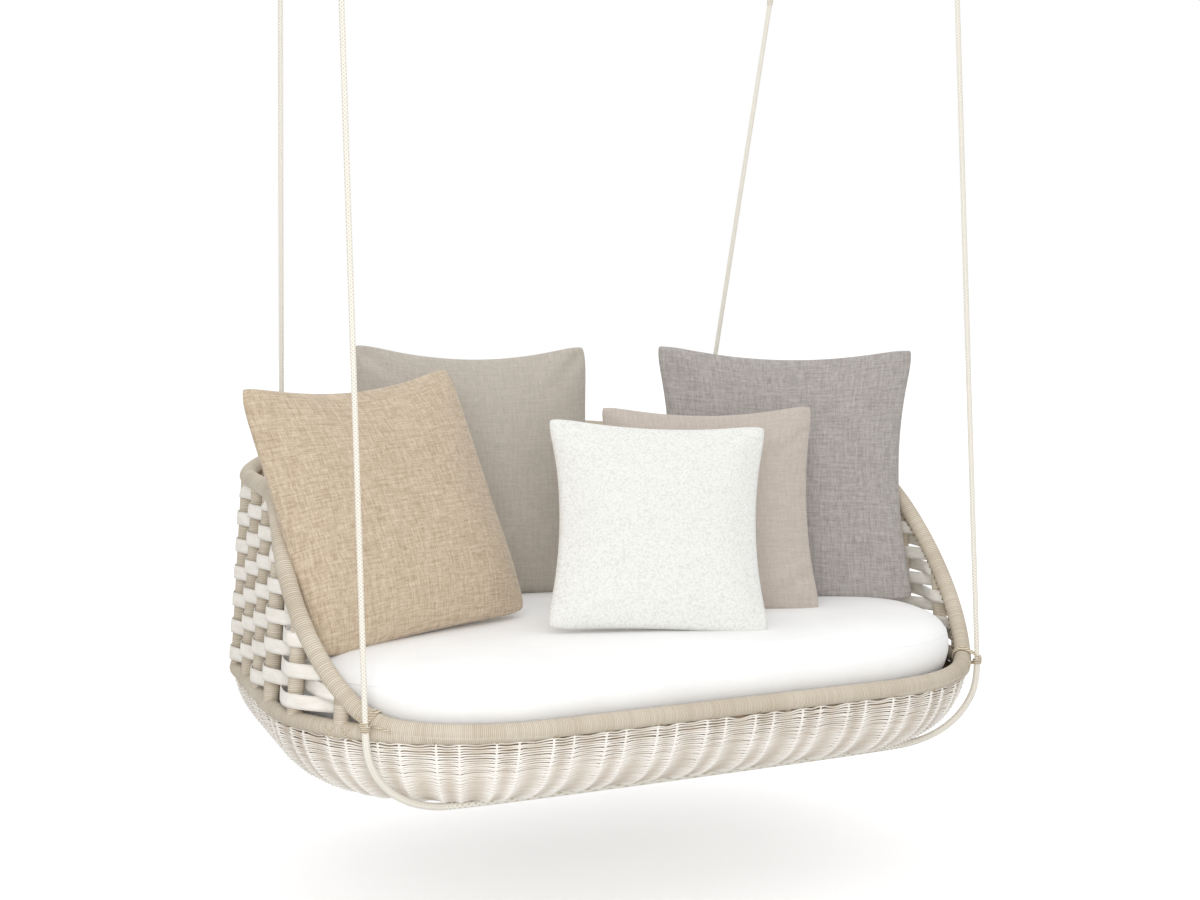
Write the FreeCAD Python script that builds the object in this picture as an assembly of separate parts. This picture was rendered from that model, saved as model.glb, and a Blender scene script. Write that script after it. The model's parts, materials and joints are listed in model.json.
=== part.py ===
"""A hanging lounger: a woven basket seat on four ropes, under a ceiling.

Everything is in millimetres. The origin is on the ceiling plane, in the middle of the four
hanging points. +X points right as seen from the front, +Y from the front rim to the back, +Z
up. The basket is drawn in its own seat frame, with zero height at the front rim's centre line
and zero depth at the front rim, and moved under the ceiling when it is saved.
"""
import FreeCAD, Part
import math
import os

V = FreeCAD.Vector
UP = V(0, 0, 1)
SIDES = (-1, 1)

# Plan of the basket, on the centre line of its base loop
HALF_WIDTH = 946.0
DEPTH = 1282.0
FRONT_CORNER_RADIUS = 471.0
BACK_CORNER_RADIUS = 309.0
BACK_TAPER = 77.0
WALL_LEAN_SHARE = 0.069

# How the rim rises from the front to the shoulders and arches over the back
SHOULDER_HEIGHT = 504.0
RISE_START = 166.0
RISE_END = 636.0
RISE_SOFTNESS_SHARE = 0.12
BACK_ARCH = 93.0

# Frame tubes, wrapped sizes
RIM_RADIUS = 23.0
RAIL_RADIUS = 20.0
POST_RADIUS = 19.0
POST_PITCH = 164.0
FIRST_POST = 967.0
RAIL_START_SHARE = 0.55
ARC_SHARE = 0.45
CORNER_STEPS = 6
BACK_CORNER_STEPS = 4
SIDE_VERTEX_SHARES = (0.10, 0.26, 0.44)
BACK_VERTEX_SHARES = (0.30, 0.80)

# Woven straps of the walls
STRAP_WIDTH = 34.0
STRAP_PITCH = 35.2
STRAP_THICKNESS = 2.5
STRAP_FIRST = 26.8
STRAP_ROWS = 15
STRAP_FLAT = 26.0
WEAVE_CLEARANCE = 1.9
STRAP_END_GAP = 4.0
TRIM_STEPS = 24

# Wicker bowl under the base loop
BOWL_DEPTH = 195.0
BOWL_OVERHANG = 9.0
BOWL_THICKNESS = 11.0

# Hidden ribs, rings and belts that carry the cushion
RIB_THICKNESS = 8.0
RIB_WIDTH = 14.0
RIB_CLEARANCE = 0.6
RIB_PITCH = 340.0
RING_RADIUS = 8.0
DECK_DROP = 60.0
BELT_WIDTH = 70.0
BELT_THICKNESS = 2.5
BELT_PITCH = 165.0
BELTS_EACH_SIDE = 4

# Ropes and the places that they run between
ROPE_RADIUS = 6.5
SLING_RADIUS = 8.5
CEILING_ABOVE_RIM = 2000.0
HOOKS_BEHIND_RIM = 609.0
FRONT_HOOK_X = 858.0
BACK_HOOK_X = 744.0
HOOK_SPREAD_Y = 674.0
FRONT_TIE_OUT = 37.2
FRONT_TIE_HEIGHT = 16.0
BACK_TIE_WAY = 2077.47
SLING_FLAT_OUT = 25.0
SLING_FLAT_FORWARD = 257.0
# The sling's points: how far along from the tie, and how far down
SLING_RUN = 388.0
SLING_POINTS = ((0.0, 40.0), (26.0, 100.0), (80.0, 152.0), (160.0, 188.0), (270.0, 204.5))
PIVOT_GAP = 0.7

# Ceiling fittings
PLATE_RADIUS = 45.0
PLATE_THICKNESS = 6.0
PLATE_EDGE_ROUND = 2.0
SCREW_CIRCLE = 64.0
SCREW_HOLE = 3.5
SCREWS = 4
EYE_BAR_RADIUS = 5.0
EYE_DROP = 40.0
EYE_HALF_WIDTH = 26.0
THIMBLE_BORE = 12.0
THIMBLE_WALL = 2.5
THIMBLE_WIDTH = 15.0
THIMBLE_LIP = 5.0
THIMBLE_GAP = 0.3

# Eye splices at the rope ends
ROPE_EYE_SLACK = 0.4
EYE_THROAT = 14.0
SPLICE_DROP = 66.0
SPLICE_LENGTH = 76.0
SPLICE_TOP_RADIUS = 14.0
SPLICE_END_RADIUS = 8.0
RIM_EYE_SLACK = 6.8
RIM_EYE_SEAT = 2.3
RIM_EYE_DROP = 98.0

# Ties of cord round the rim, beside the front ropes
TIE_CORD_RADIUS = 3.2
TIE_TURNS = 3
TIE_PITCH = 7.4
TIE_CLEARANCE = 0.7

# Seat cushion
CUSHION_TOP = 136.0
CUSHION_SEAM = 92.0
CUSHION_INSET = 33.0
CUSHION_EDGE_ROUND = 60.0
CUSHION_CROWN_INSET = 190.0
CUSHION_EDGE_SHARES = ((0.45, 0.0), (0.12, 0.16), (0.0, 0.42), (0.0, 0.7), (0.08, 1.0))
CUSHION_CROWN_SHARES = ((0.16, 0.55), (0.45, 0.86), (1.0, 1.0))

# Scatter cushions
LARGE_PILLOW = 645.0
SMALL_PILLOW = 535.0
LARGE_PILLOW_THICKNESS = 170.0
SMALL_PILLOW_THICKNESS = 140.0
PILLOW_WAIST_SHARE = 0.05
PILLOW_SEAM = 7.0
PILLOW_SEAT_GAP = 0.4
SETTLE_STEPS = 3
PILLOW_LEVEL_SHARES = (-1.0, -0.93, -0.72, -0.38, 0.0, 0.38, 0.72, 0.93, 1.0)
PILLOW_FULLNESS_SHARE = 0.55
SAND_INSET = 356.0
SAND_BACK = 622.0
TAUPE_LEFT = 150.0
TAUPE_INSET = 192.0
GREY_INSET = 374.0
GREY_BACK = 672.0
SMALL_TAUPE_PLACE = (294.0, 565.0)
WHITE_PLACE = (5.0, 341.0)
# Turn about the vertical, lean back and roll of each, in degrees
SAND_TURN = (19.0, 22.5, -2.7)
TAUPE_TURN = (-10.0, 11.0, 1.0)
GREY_TURN = (-29.0, 12.0, 1.0)
SMALL_TAUPE_TURN = (-24.0, 13.5, 0.0)
WHITE_TURN = (-19.0, 17.0, 2.0)

# One clearance where pieces seat on each other, and one overrun for all cuts
SEAT_GAP = 0.3
OVERRUN = 50.0

PARTS = "parts"
SAVED = []


def save(name, shape):
    """Write one named sub-part, and note its volume."""
    shape.exportStep(os.path.join(PARTS, name + ".step"))
    SAVED.append((name, len(shape.Solids), shape.Volume))


def save_seat(name, shape):
    """Move a piece from the seat frame to its place under the ceiling, and write it."""
    moved = shape.copy()
    moved.translate(SEAT_TO_CEILING)
    save(name, moved)


def group(shapes):
    """Several separate solids as one compound."""
    return Part.makeCompound(shapes)


# The base loop seen from above, right half: front line, corner, side line, corner, back line
FRONT_CENTRE = V(HALF_WIDTH - FRONT_CORNER_RADIUS, FRONT_CORNER_RADIUS, 0)
BACK_CENTRE = V(HALF_WIDTH - BACK_TAPER - BACK_CORNER_RADIUS, DEPTH - BACK_CORNER_RADIUS, 0)
CENTRES_APART = BACK_CENTRE.distanceToPoint(FRONT_CENTRE)
RADIUS_DROP = FRONT_CORNER_RADIUS - BACK_CORNER_RADIUS
CENTRES_ANGLE = math.atan2(BACK_CENTRE.y - FRONT_CENTRE.y, BACK_CENTRE.x - FRONT_CENTRE.x)
SIDE_ANGLE = CENTRES_ANGLE - math.acos(RADIUS_DROP / CENTRES_APART)
SIDE_LENGTH = math.sqrt(CENTRES_APART ** 2 - RADIUS_DROP ** 2)
FRONT_ARC = FRONT_CORNER_RADIUS * (SIDE_ANGLE + math.pi / 2)
BACK_ARC = BACK_CORNER_RADIUS * (math.pi / 2 - SIDE_ANGLE)
FRONT_END = FRONT_CENTRE.x
FRONT_TIE_WAY = FRONT_END + FRONT_ARC / 2
SIDE_START = FRONT_END + FRONT_ARC
SIDE_END = SIDE_START + SIDE_LENGTH
BACK_START = SIDE_END + BACK_ARC
HALF_LOOP = BACK_START + BACK_CENTRE.x
SEAT_TO_CEILING = V(0, -HOOKS_BEHIND_RIM, -CEILING_ABOVE_RIM)


def unit(angle):
    """A level direction at an angle from +X."""
    return V(math.cos(angle), math.sin(angle), 0)


def base_point(way, offset=0.0):
    """A point of the base loop, a way along it from the front's middle, and its outward normal."""
    side = 1 if way >= 0 else -1
    run = abs(way)
    if run <= FRONT_END:
        point, normal = V(run, 0, 0), V(0, -1, 0)
    elif run <= SIDE_START:
        normal = unit(-math.pi / 2 + (run - FRONT_END) / FRONT_CORNER_RADIUS)
        point = FRONT_CENTRE + normal * FRONT_CORNER_RADIUS
    elif run <= SIDE_END:
        normal = unit(SIDE_ANGLE)
        along = unit(SIDE_ANGLE + math.pi / 2)
        point = FRONT_CENTRE + normal * FRONT_CORNER_RADIUS + along * (run - SIDE_START)
    elif run <= BACK_START:
        normal = unit(SIDE_ANGLE + (run - SIDE_END) / BACK_CORNER_RADIUS)
        point = BACK_CENTRE + normal * BACK_CORNER_RADIUS
    else:
        point, normal = V(HALF_LOOP - run, DEPTH, 0), V(0, 1, 0)
    point = point + normal * offset
    return V(side * point.x, point.y, 0), V(side * normal.x, normal.y, 0)


def softened(share):
    """Zero before 0 and rising one for one after it, with a soft knee."""
    return (share + math.sqrt(share ** 2 + RISE_SOFTNESS_SHARE ** 2)) / 2


def rise_at(y):
    """Height of the rim's ramp over the base loop at a depth."""
    def ramp(depth):
        share = (depth - RISE_START) / (RISE_END - RISE_START)
        return softened(share) - softened(share - 1)
    return SHOULDER_HEIGHT * (ramp(y) - ramp(0))


def arch_at(x, y):
    """Extra height of the rim towards the middle of the back."""
    share = min(max((y - BACK_CENTRE.y) / BACK_CORNER_RADIUS, 0), 1)
    smooth = share * share * (3 - 2 * share)
    return BACK_ARCH * smooth * math.cos(x / HALF_WIDTH * math.pi / 2)


def rim_height(way):
    """Height of the rim's centre line at a way along the loop."""
    if abs(way) <= FRONT_END:
        return 0.0
    point, _ = base_point(way)
    return rise_at(point.y) + arch_at(point.x, point.y)


def wall_point(way, height, offset=0.0):
    """A point of the leaning wall's middle surface, moved outward by an offset."""
    point, normal = base_point(way, offset - WALL_LEAN_SHARE * height)
    return V(point.x, point.y, height), normal


def corner_arc(first, corner, last):
    """The arc from first to last whose end tangents meet at the corner."""
    back = first - corner
    ahead = last - corner
    turn = math.pi - back.getAngle(ahead)
    radius = back.Length / math.tan(turn / 2)
    middle_way = back.normalize() + ahead.normalize()
    middle = corner + middle_way.normalize() * (radius / math.cos(turn / 2) - radius)
    return Part.Arc(first, middle, last).toShape(), radius


def rounded_path(points):
    """Straight runs joined by tangent arcs that are as large as the runs allow."""
    edges = []
    start = points[0]
    radii = []
    for before, corner, after in zip(points, points[1:], points[2:]):
        back = before - corner
        ahead = after - corner
        reach = ARC_SHARE * min(back.Length, ahead.Length)
        first = corner + back.normalize() * reach
        last = corner + ahead.normalize() * reach
        arc, radius = corner_arc(first, corner, last)
        edges.append(Part.makeLine(start, first))
        edges.append(arc)
        radii.append(radius)
        start = last
    edges.append(Part.makeLine(start, points[-1]))
    return Part.Wire(edges), radii


def tube(points, radius):
    """A round bar along a route of straight runs and tangent arcs."""
    path, _ = rounded_path(points)
    ring = Part.Wire(Part.makeCircle(radius, points[0], points[1] - points[0]))
    return path.makePipeShell([ring], True, False)


def cord(name, points, radius):
    """A rope along its route, with its bend radii and its volume against section times length."""
    path, radii = rounded_path(points)
    ring = Part.Wire(Part.makeCircle(radius, points[0], points[1] - points[0]))
    solid = path.makePipeShell([ring], True, False)
    share = solid.Volume / (math.pi * radius ** 2 * path.Length)
    print(name, "bend radii", [round(value) for value in radii], "volume share", round(share, 4))
    return solid


def rod(start, end, radius):
    """A straight round bar between two points."""
    axis = end - start
    return Part.makeCylinder(radius, axis.Length, start, axis)


def corner_vertices(first_way, length, radius, steps):
    """Ways and outward offsets of the vertices whose runs touch a corner arc of the loop."""
    half = length / radius / steps / 2
    offset = radius / math.cos(half) - radius
    return [(first_way + (index + 0.5) * length / steps, offset) for index in range(steps)]


def half_loop_vertices():
    """Vertices of the right half of the loop, from the front corner to the back."""
    found = corner_vertices(FRONT_END, FRONT_ARC, FRONT_CORNER_RADIUS, CORNER_STEPS)
    found += [(SIDE_START + share * SIDE_LENGTH, 0.0) for share in SIDE_VERTEX_SHARES]
    found += corner_vertices(SIDE_END, BACK_ARC, BACK_CORNER_RADIUS, BACK_CORNER_STEPS)
    back_run = HALF_LOOP - BACK_START
    found += [(BACK_START + share * back_run, 0.0) for share in BACK_VERTEX_SHARES]
    return found


def rim_vertex(side, way, offset):
    """A vertex of the rim's route on one side."""
    point, _ = wall_point(side * way, rim_height(way), offset)
    return point


def midpoint(first, second):
    """The point half way between two others."""
    return (first + second) * 0.5


def rim_routes():
    """The rim's closed route cut in the middle of four runs: front, left, right and back."""
    vertices = half_loop_vertices()
    halves = {side: [rim_vertex(side, way, offset) for way, offset in vertices] for side in SIDES}
    front_cut = CORNER_STEPS // 2
    back_cut = CORNER_STEPS + len(SIDE_VERTEX_SHARES) + BACK_CORNER_STEPS // 2
    routes = {}
    ends = {}
    for side in SIDES:
        half = halves[side]
        front = midpoint(half[front_cut - 1], half[front_cut])
        back = midpoint(half[back_cut - 1], half[back_cut])
        routes[side] = [front] + half[front_cut:back_cut] + [back]
        ends[side] = (front, back)
    routes["front"] = ([ends[-1][0]] + halves[-1][front_cut - 1::-1]
                       + halves[1][:front_cut] + [ends[1][0]])
    routes["back"] = ([ends[-1][1]] + halves[-1][back_cut:]
                      + halves[1][:back_cut - 1:-1] + [ends[1][1]])
    return routes


def make_rim():
    """The four lengths of the wrapped rim tube, meeting face to face."""
    routes = rim_routes()
    pieces = {"rim_front": tube(routes["front"], RIM_RADIUS),
              "rim_left": tube(routes[-1], RIM_RADIUS),
              "rim_right": tube(routes[1], RIM_RADIUS),
              "rim_back": tube(routes["back"], RIM_RADIUS)}
    return pieces


RAIL_HEIGHT = RAIL_RADIUS - RIM_RADIUS


def largest(shape):
    """The largest solid that a cut leaves."""
    return max(shape.Solids, key=lambda solid: solid.Volume)


def make_rail(rim):
    """The base rail round sides and back, coped into the rim at both ends."""
    vertices = [(way, offset) for way, offset in half_loop_vertices()
                if way > RAIL_START and (way < SIDE_START or way > SIDE_END)
                and way < BACK_START]
    points = []
    for side in SIDES:
        end, _ = wall_point(side * RAIL_START, rim_height(RAIL_START))
        half = [end]
        for way, offset in vertices:
            point, _ = base_point(side * way, offset)
            half.append(point + UP * RAIL_HEIGHT)
        points.append(half)
    route = points[0] + points[1][::-1]
    rail = tube(route, RAIL_RADIUS)
    for piece in (rim["rim_left"], rim["rim_right"], rim["rim_front"]):
        rail = largest(rail.cut(piece))
    return rail


RAIL_START = FRONT_END + FRONT_ARC * RAIL_START_SHARE

# Posts stand at even ways round the loop, between the two front ties
POST_GAPS = round(2 * (HALF_LOOP - FIRST_POST) / POST_PITCH)
POST_WAYS = [FIRST_POST + index * 2 * (HALF_LOOP - FIRST_POST) / POST_GAPS
             for index in range(POST_GAPS + 1)]


def loop_way(way):
    """A way past the middle of the back, as the same place counted from the front's other side."""
    return way if way <= HALF_LOOP else way - 2 * HALF_LOOP


def panel_cuts():
    """Index of the first and last post of each of the five wall panels, right side first."""
    def nearest(way):
        return min(range(len(POST_WAYS)), key=lambda index: abs(POST_WAYS[index] - way))
    first = nearest(SIDE_END)
    second = nearest(BACK_START)
    last = len(POST_WAYS) - 1
    return [("right_side", 0, first), ("right_corner", first, second),
            ("back", second, last - second), ("left_corner", last - second, last - first),
            ("left_side", last - first, last)]


def make_post(way, rim, rail):
    """One wrapped post, coped to the base rail below and to the rim above."""
    foot, _ = wall_point(loop_way(way), RAIL_HEIGHT)
    head, _ = wall_point(loop_way(way), rim_height(loop_way(way)))
    post = rod(foot, head, POST_RADIUS)
    for piece in [rail] + list(rim.values()):
        if post.BoundBox.intersect(piece.BoundBox):
            post = largest(post.cut(piece))
    return post


def make_posts(rim, rail):
    """The posts of each wall panel: a shared post belongs to the side or the back."""
    posts = {}
    for name, first, last in panel_cuts():
        inner = name.endswith("corner")
        start = first + 1 if inner else first
        stop = last - 1 if inner else last
        posts[name] = [make_post(POST_WAYS[index], rim, rail) for index in range(start, stop + 1)]
    return posts


def under_rim():
    """A deep block under the rising rim, as wide as the basket, that trims the strap ends."""
    depth_step = (RISE_END + RISE_START) / TRIM_STEPS
    profile = []
    for index in range(TRIM_STEPS + 1):
        y = index * depth_step
        slope = math.atan((rise_at(y + depth_step) - rise_at(y - depth_step)) / (2 * depth_step))
        drop = RIM_RADIUS / math.cos(slope) + STRAP_END_GAP
        profile.append(V(-HALF_WIDTH - OVERRUN, y, rise_at(y) - drop))
    top = SHOULDER_HEIGHT + BACK_ARCH + OVERRUN
    low = -RIM_RADIUS - OVERRUN
    far = DEPTH + OVERRUN
    profile.append(V(profile[-1].x, profile[-1].y, top))
    profile.append(V(profile[0].x, far, top))
    profile.append(V(profile[0].x, far, low))
    profile.append(V(profile[0].x, 0, low))
    profile.append(profile[0])
    face = Part.Face(Part.makePolygon(profile))
    return face.extrude(V(2 * (HALF_WIDTH + OVERRUN), 0, 0))


def row_start(bottom, top):
    """Where a strap row starts: short of the rising rim, or on the first post that is tall enough."""
    sloped = top + RIM_RADIUS + STRAP_END_GAP < SHOULDER_HEIGHT
    needed = (bottom - STRAP_WIDTH if sloped else top) + RIM_RADIUS + STRAP_END_GAP
    way = FRONT_END
    step = STRAP_FLAT / 4
    while rim_height(way) < needed:
        way += step
    return way if sloped else min(post for post in POST_WAYS if post >= way) - STRAP_FLAT / 2


def weave_points(row, first, last, start, end):
    """Plan points and normals of one strap between two posts, over and under the ones between."""
    height = STRAP_FIRST + row * STRAP_PITCH + STRAP_WIDTH / 2
    swing = POST_RADIUS + STRAP_THICKNESS / 2 + WEAVE_CLEARANCE
    points = []
    for index in range(first, last + 1):
        way = POST_WAYS[index]
        sign = -1 if (index + row) % 2 == 0 else 1
        for nudge in (-STRAP_FLAT / 2, STRAP_FLAT / 2):
            place = way + nudge
            inside = index > first or nudge > 0
            inside = inside and (index < last or nudge < 0)
            if inside and start - SEAT_GAP < place < end + SEAT_GAP:
                points.append((place, sign * swing))
        if index in (first, last) and start < way < end:
            points.append((way, sign * swing))
    points.sort()
    if POST_WAYS[first] < start < points[0][0] - SEAT_GAP:
        points.insert(0, (start, 0.0))
    if points[-1][0] + SEAT_GAP < end < POST_WAYS[last]:
        points.append((end, 0.0))
    return height, points


def make_strap(row, first, last, start, end):
    """One strap of a panel: a thin band that zigzags round the posts."""
    height, points = weave_points(row, first, last, start, end)
    outer = []
    inner = []
    for way, offset in points:
        out, _ = wall_point(loop_way(way), height, offset + STRAP_THICKNESS / 2)
        into, _ = wall_point(loop_way(way), height, offset - STRAP_THICKNESS / 2)
        outer.append(out)
        inner.append(into)
    outline = outer + inner[::-1] + [outer[0]]
    low = UP * (-STRAP_WIDTH / 2)
    face = Part.Face(Part.makePolygon([point + low for point in outline]))
    return face.extrude(UP * STRAP_WIDTH)


def make_straps():
    """All strap rows, cut into the five wall panels and trimmed along the rim."""
    trim = under_rim()
    panels = {name: [] for name, _, _ in panel_cuts()}
    for row in range(STRAP_ROWS):
        bottom = STRAP_FIRST + row * STRAP_PITCH
        start = row_start(bottom, bottom + STRAP_WIDTH)
        end = POST_WAYS[0] + POST_WAYS[-1] - start
        for name, first, last in panel_cuts():
            if start > POST_WAYS[last] - STRAP_FLAT or end < POST_WAYS[first] + STRAP_FLAT:
                continue
            strap = make_strap(row, first, last, start, end)
            if name.endswith("side"):
                strap = strap.common(trim)
            panels[name] += strap.Solids
    return panels


def outline_face(offset, height):
    """The basket's plan as a flat face, moved outward by an offset."""
    front_radius = FRONT_CORNER_RADIUS + offset
    back_radius = BACK_CORNER_RADIUS + offset

    def place(centre, angle, radius, side):
        """A point of a corner at an angle, on the right or mirrored to the left."""
        point = centre + unit(angle) * radius
        return V(side * point.x, point.y, height)

    def corner(centre, radius, first, last, side):
        middle = (first + last) / 2
        return Part.Arc(place(centre, first, radius, side), place(centre, middle, radius, side),
                        place(centre, last, radius, side)).toShape()

    down, straight = -math.pi / 2, math.pi / 2
    right = (corner(FRONT_CENTRE, front_radius, down, SIDE_ANGLE, 1),
             Part.makeLine(place(FRONT_CENTRE, SIDE_ANGLE, front_radius, 1),
                           place(BACK_CENTRE, SIDE_ANGLE, back_radius, 1)),
             corner(BACK_CENTRE, back_radius, SIDE_ANGLE, straight, 1))
    left = (corner(BACK_CENTRE, back_radius, straight, SIDE_ANGLE, -1),
            Part.makeLine(place(BACK_CENTRE, SIDE_ANGLE, back_radius, -1),
                          place(FRONT_CENTRE, SIDE_ANGLE, front_radius, -1)),
            corner(FRONT_CENTRE, front_radius, SIDE_ANGLE, down, -1))
    front = Part.makeLine(place(FRONT_CENTRE, down, front_radius, -1),
                          place(FRONT_CENTRE, down, front_radius, 1))
    back = Part.makeLine(place(BACK_CENTRE, straight, back_radius, 1),
                         place(BACK_CENTRE, straight, back_radius, -1))
    edges = [front, *right, back, *left]
    return Part.Face(Part.Wire(edges))


def tray(offset, depth):
    """A solid tray shape below zero height, its lower edge rounded to the full depth."""
    body = outline_face(offset, 0).extrude(V(0, 0, -depth))
    low = [edge for edge in body.Edges
           if abs(edge.BoundBox.ZMax + depth) < SEAT_GAP and abs(edge.BoundBox.ZMin + depth) < SEAT_GAP]
    return body.makeFillet(depth - SEAT_GAP, low)


INNER_OFFSET = BOWL_OVERHANG - BOWL_THICKNESS
INNER_DEPTH = BOWL_DEPTH - BOWL_THICKNESS


def make_bowl():
    """The wicker bowl: a rounded tray with an open top, under the rim and the base rail."""
    outer = tray(BOWL_OVERHANG, BOWL_DEPTH)
    inner = tray(INNER_OFFSET, INNER_DEPTH)
    width = 2 * (HALF_WIDTH + OVERRUN)
    top = Part.makeBox(width, DEPTH + 2 * OVERRUN, RIM_RADIUS + SEAT_GAP,
                       V(-width / 2, -OVERRUN, -RIM_RADIUS - SEAT_GAP))
    return outer.cut(inner).cut(top)


RIB_OUTER = INNER_DEPTH - SEAT_GAP - RIB_CLEARANCE
RIB_INNER = RIB_OUTER - RIB_THICKNESS
RIB_CENTRE_OFFSET = INNER_OFFSET - INNER_DEPTH + SEAT_GAP
RIB_CENTRE_HEIGHT = -SEAT_GAP


def rib_point(way, radius, angle):
    """A point of a rib's quarter circle, at an angle below the level."""
    point, _ = base_point(way, RIB_CENTRE_OFFSET + radius * math.cos(angle))
    return point + UP * (RIB_CENTRE_HEIGHT - radius * math.sin(angle))


def make_rib(way):
    """A bent flat bar from under the rim down to the bottom ring."""
    top = RIM_RADIUS + SEAT_GAP

    def arc(radius, reverse):
        first = math.asin((top + RIB_CENTRE_HEIGHT) / radius)
        angles = [first, (first + math.pi / 2) / 2, math.pi / 2]
        if reverse:
            angles.reverse()
        return Part.Arc(*[rib_point(way, radius, angle) for angle in angles]).toShape()

    outer = arc(RIB_OUTER, False)
    inner = arc(RIB_INNER, True)
    foot = Part.makeLine(outer.Vertexes[-1].Point, inner.Vertexes[0].Point)
    head = Part.makeLine(inner.Vertexes[-1].Point, outer.Vertexes[0].Point)
    face = Part.Face(Part.Wire([outer, foot, inner, head]))
    _, normal = base_point(way)
    across = UP.cross(normal)
    face.translate(across * (-RIB_WIDTH / 2))
    return face.extrude(across * RIB_WIDTH)


def rib_ways():
    """Even ways of the ribs round the whole loop."""
    count = round(2 * HALF_LOOP / RIB_PITCH)
    return [-HALF_LOOP + (index + 0.5) * 2 * HALF_LOOP / count for index in range(count)]


def ring_tube(offset, height, radius):
    """A closed round-bar ring that follows the plan of the basket."""
    path = outline_face(offset, height).OuterWire
    corner = path.OrderedVertexes[0].Point
    ring = Part.Wire(Part.makeCircle(radius, corner, V(1, 0, 0)))
    return path.makePipeShell([ring], True, False)


BOTTOM_RING_OFFSET = RIB_CENTRE_OFFSET - RING_RADIUS - SEAT_GAP
BOTTOM_RING_HEIGHT = -INNER_DEPTH + SEAT_GAP + RING_RADIUS
DECK_REACH = RIB_INNER - RING_RADIUS - SEAT_GAP
DECK_OFFSET = RIB_CENTRE_OFFSET + math.sqrt(DECK_REACH ** 2 - (DECK_DROP + RIB_CENTRE_HEIGHT) ** 2)
DECK_TOP = -DECK_DROP + RING_RADIUS


def ring_depths(x, offset):
    """Front and back depths of a ring of the plan at a place across."""
    x = abs(x)
    front_radius = FRONT_CORNER_RADIUS + offset
    back_radius = BACK_CORNER_RADIUS + offset
    front_over = max(x - FRONT_CENTRE.x, 0)
    back_over = max(x - BACK_CENTRE.x, 0)
    front = FRONT_CENTRE.y - math.sqrt(front_radius ** 2 - front_over ** 2)
    back = BACK_CENTRE.y + math.sqrt(back_radius ** 2 - back_over ** 2)
    return front, back


def make_belts():
    """Flat belts from the front to the back of the deck ring, under the cushion."""
    belts = []
    for index in range(-BELTS_EACH_SIDE, BELTS_EACH_SIDE + 1):
        x = index * BELT_PITCH
        front, back = ring_depths(x, DECK_OFFSET)
        belts.append(Part.makeBox(BELT_WIDTH, back - front, BELT_THICKNESS,
                                  V(x - BELT_WIDTH / 2, front, DECK_TOP)))
    return belts


def front_tie(side):
    """Where a front rope meets the basket, just outside the rim."""
    point, _ = base_point(side * FRONT_TIE_WAY, FRONT_TIE_OUT)
    return point + UP * FRONT_TIE_HEIGHT


def sling_route():
    """The thick rope from one front tie, under the bowl, to the other."""
    halves = []
    for side in SIDES:
        tie = front_tie(side)
        flat = V(side * (FRONT_CENTRE.x + SLING_FLAT_OUT), FRONT_CENTRE.y - SLING_FLAT_FORWARD, 0)
        half = [tie - UP * (PIVOT_GAP / 2)]
        for out, drop in SLING_POINTS:
            share = out / SLING_RUN
            plan = V(tie.x, tie.y, 0) * (1 - share) + flat * share
            half.append(plan - UP * drop)
        halves.append(half)
    return halves[0] + halves[1][::-1]


def eye_rope(bend, drop, radius):
    """A rope's eye round the X axis: a ring whose two ends come together and run down."""
    strand = radius + SEAT_GAP / 2
    throat = drop - EYE_THROAT
    spread = math.acos(bend / math.hypot(strand, throat)) - math.atan2(throat, strand)
    reach = ARC_SHARE * EYE_THROAT

    def on_ring(angle):
        """A point of the ring, at an angle above the level on the right."""
        return V(0, bend * math.cos(angle), bend * math.sin(angle))

    def leg(side, tangent):
        """Edges from the foot of one strand up to the ring."""
        corner = V(0, side * strand, -throat)
        foot = V(0, side * strand, -drop)
        first = corner - UP * reach
        last = corner + (tangent - corner).normalize() * reach
        bent, _ = corner_arc(first, corner, last)
        return [Part.makeLine(foot, first), bent, Part.makeLine(last, tangent)]

    right, left, top = on_ring(spread), on_ring(math.pi - spread), on_ring(math.pi / 2)
    over = [Part.Arc(left, on_ring(math.pi * 3 / 4), top).toShape(),
            Part.Arc(top, on_ring(math.pi / 4), right).toShape()]
    edges = leg(-1, left) + over + leg(1, right)[::-1]
    ring = Part.Wire(Part.makeCircle(radius, V(0, -strand, -drop), UP))
    return Part.Wire(edges).makePipeShell([ring], True, False)


def splice(drop):
    """The tapered, served throat below a rope's eye."""
    return Part.makeCone(SPLICE_END_RADIUS, SPLICE_TOP_RADIUS, SPLICE_LENGTH,
                         V(0, 0, -drop - SEAT_GAP - SPLICE_LENGTH))


def thimble():
    """A grooved metal ring round the X axis that lines a rope's eye."""
    half = THIMBLE_WIDTH / 2
    groove = ROPE_RADIUS + ROPE_EYE_SLACK
    floor = THIMBLE_BORE + THIMBLE_WALL
    lip = floor + THIMBLE_LIP
    mouth = math.sqrt(groove ** 2 - (groove - THIMBLE_LIP) ** 2)
    outline = [Part.makeLine(V(-half, 0, THIMBLE_BORE), V(half, 0, THIMBLE_BORE)),
               Part.makeLine(V(half, 0, THIMBLE_BORE), V(half, 0, lip)),
               Part.makeLine(V(half, 0, lip), V(mouth, 0, lip)),
               Part.Arc(V(mouth, 0, lip), V(0, 0, floor), V(-mouth, 0, lip)).toShape(),
               Part.makeLine(V(-mouth, 0, lip), V(-half, 0, lip)),
               Part.makeLine(V(-half, 0, lip), V(-half, 0, THIMBLE_BORE))]
    return Part.Face(Part.Wire(outline)).revolve(V(0, 0, 0), V(1, 0, 0), 360)


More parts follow.
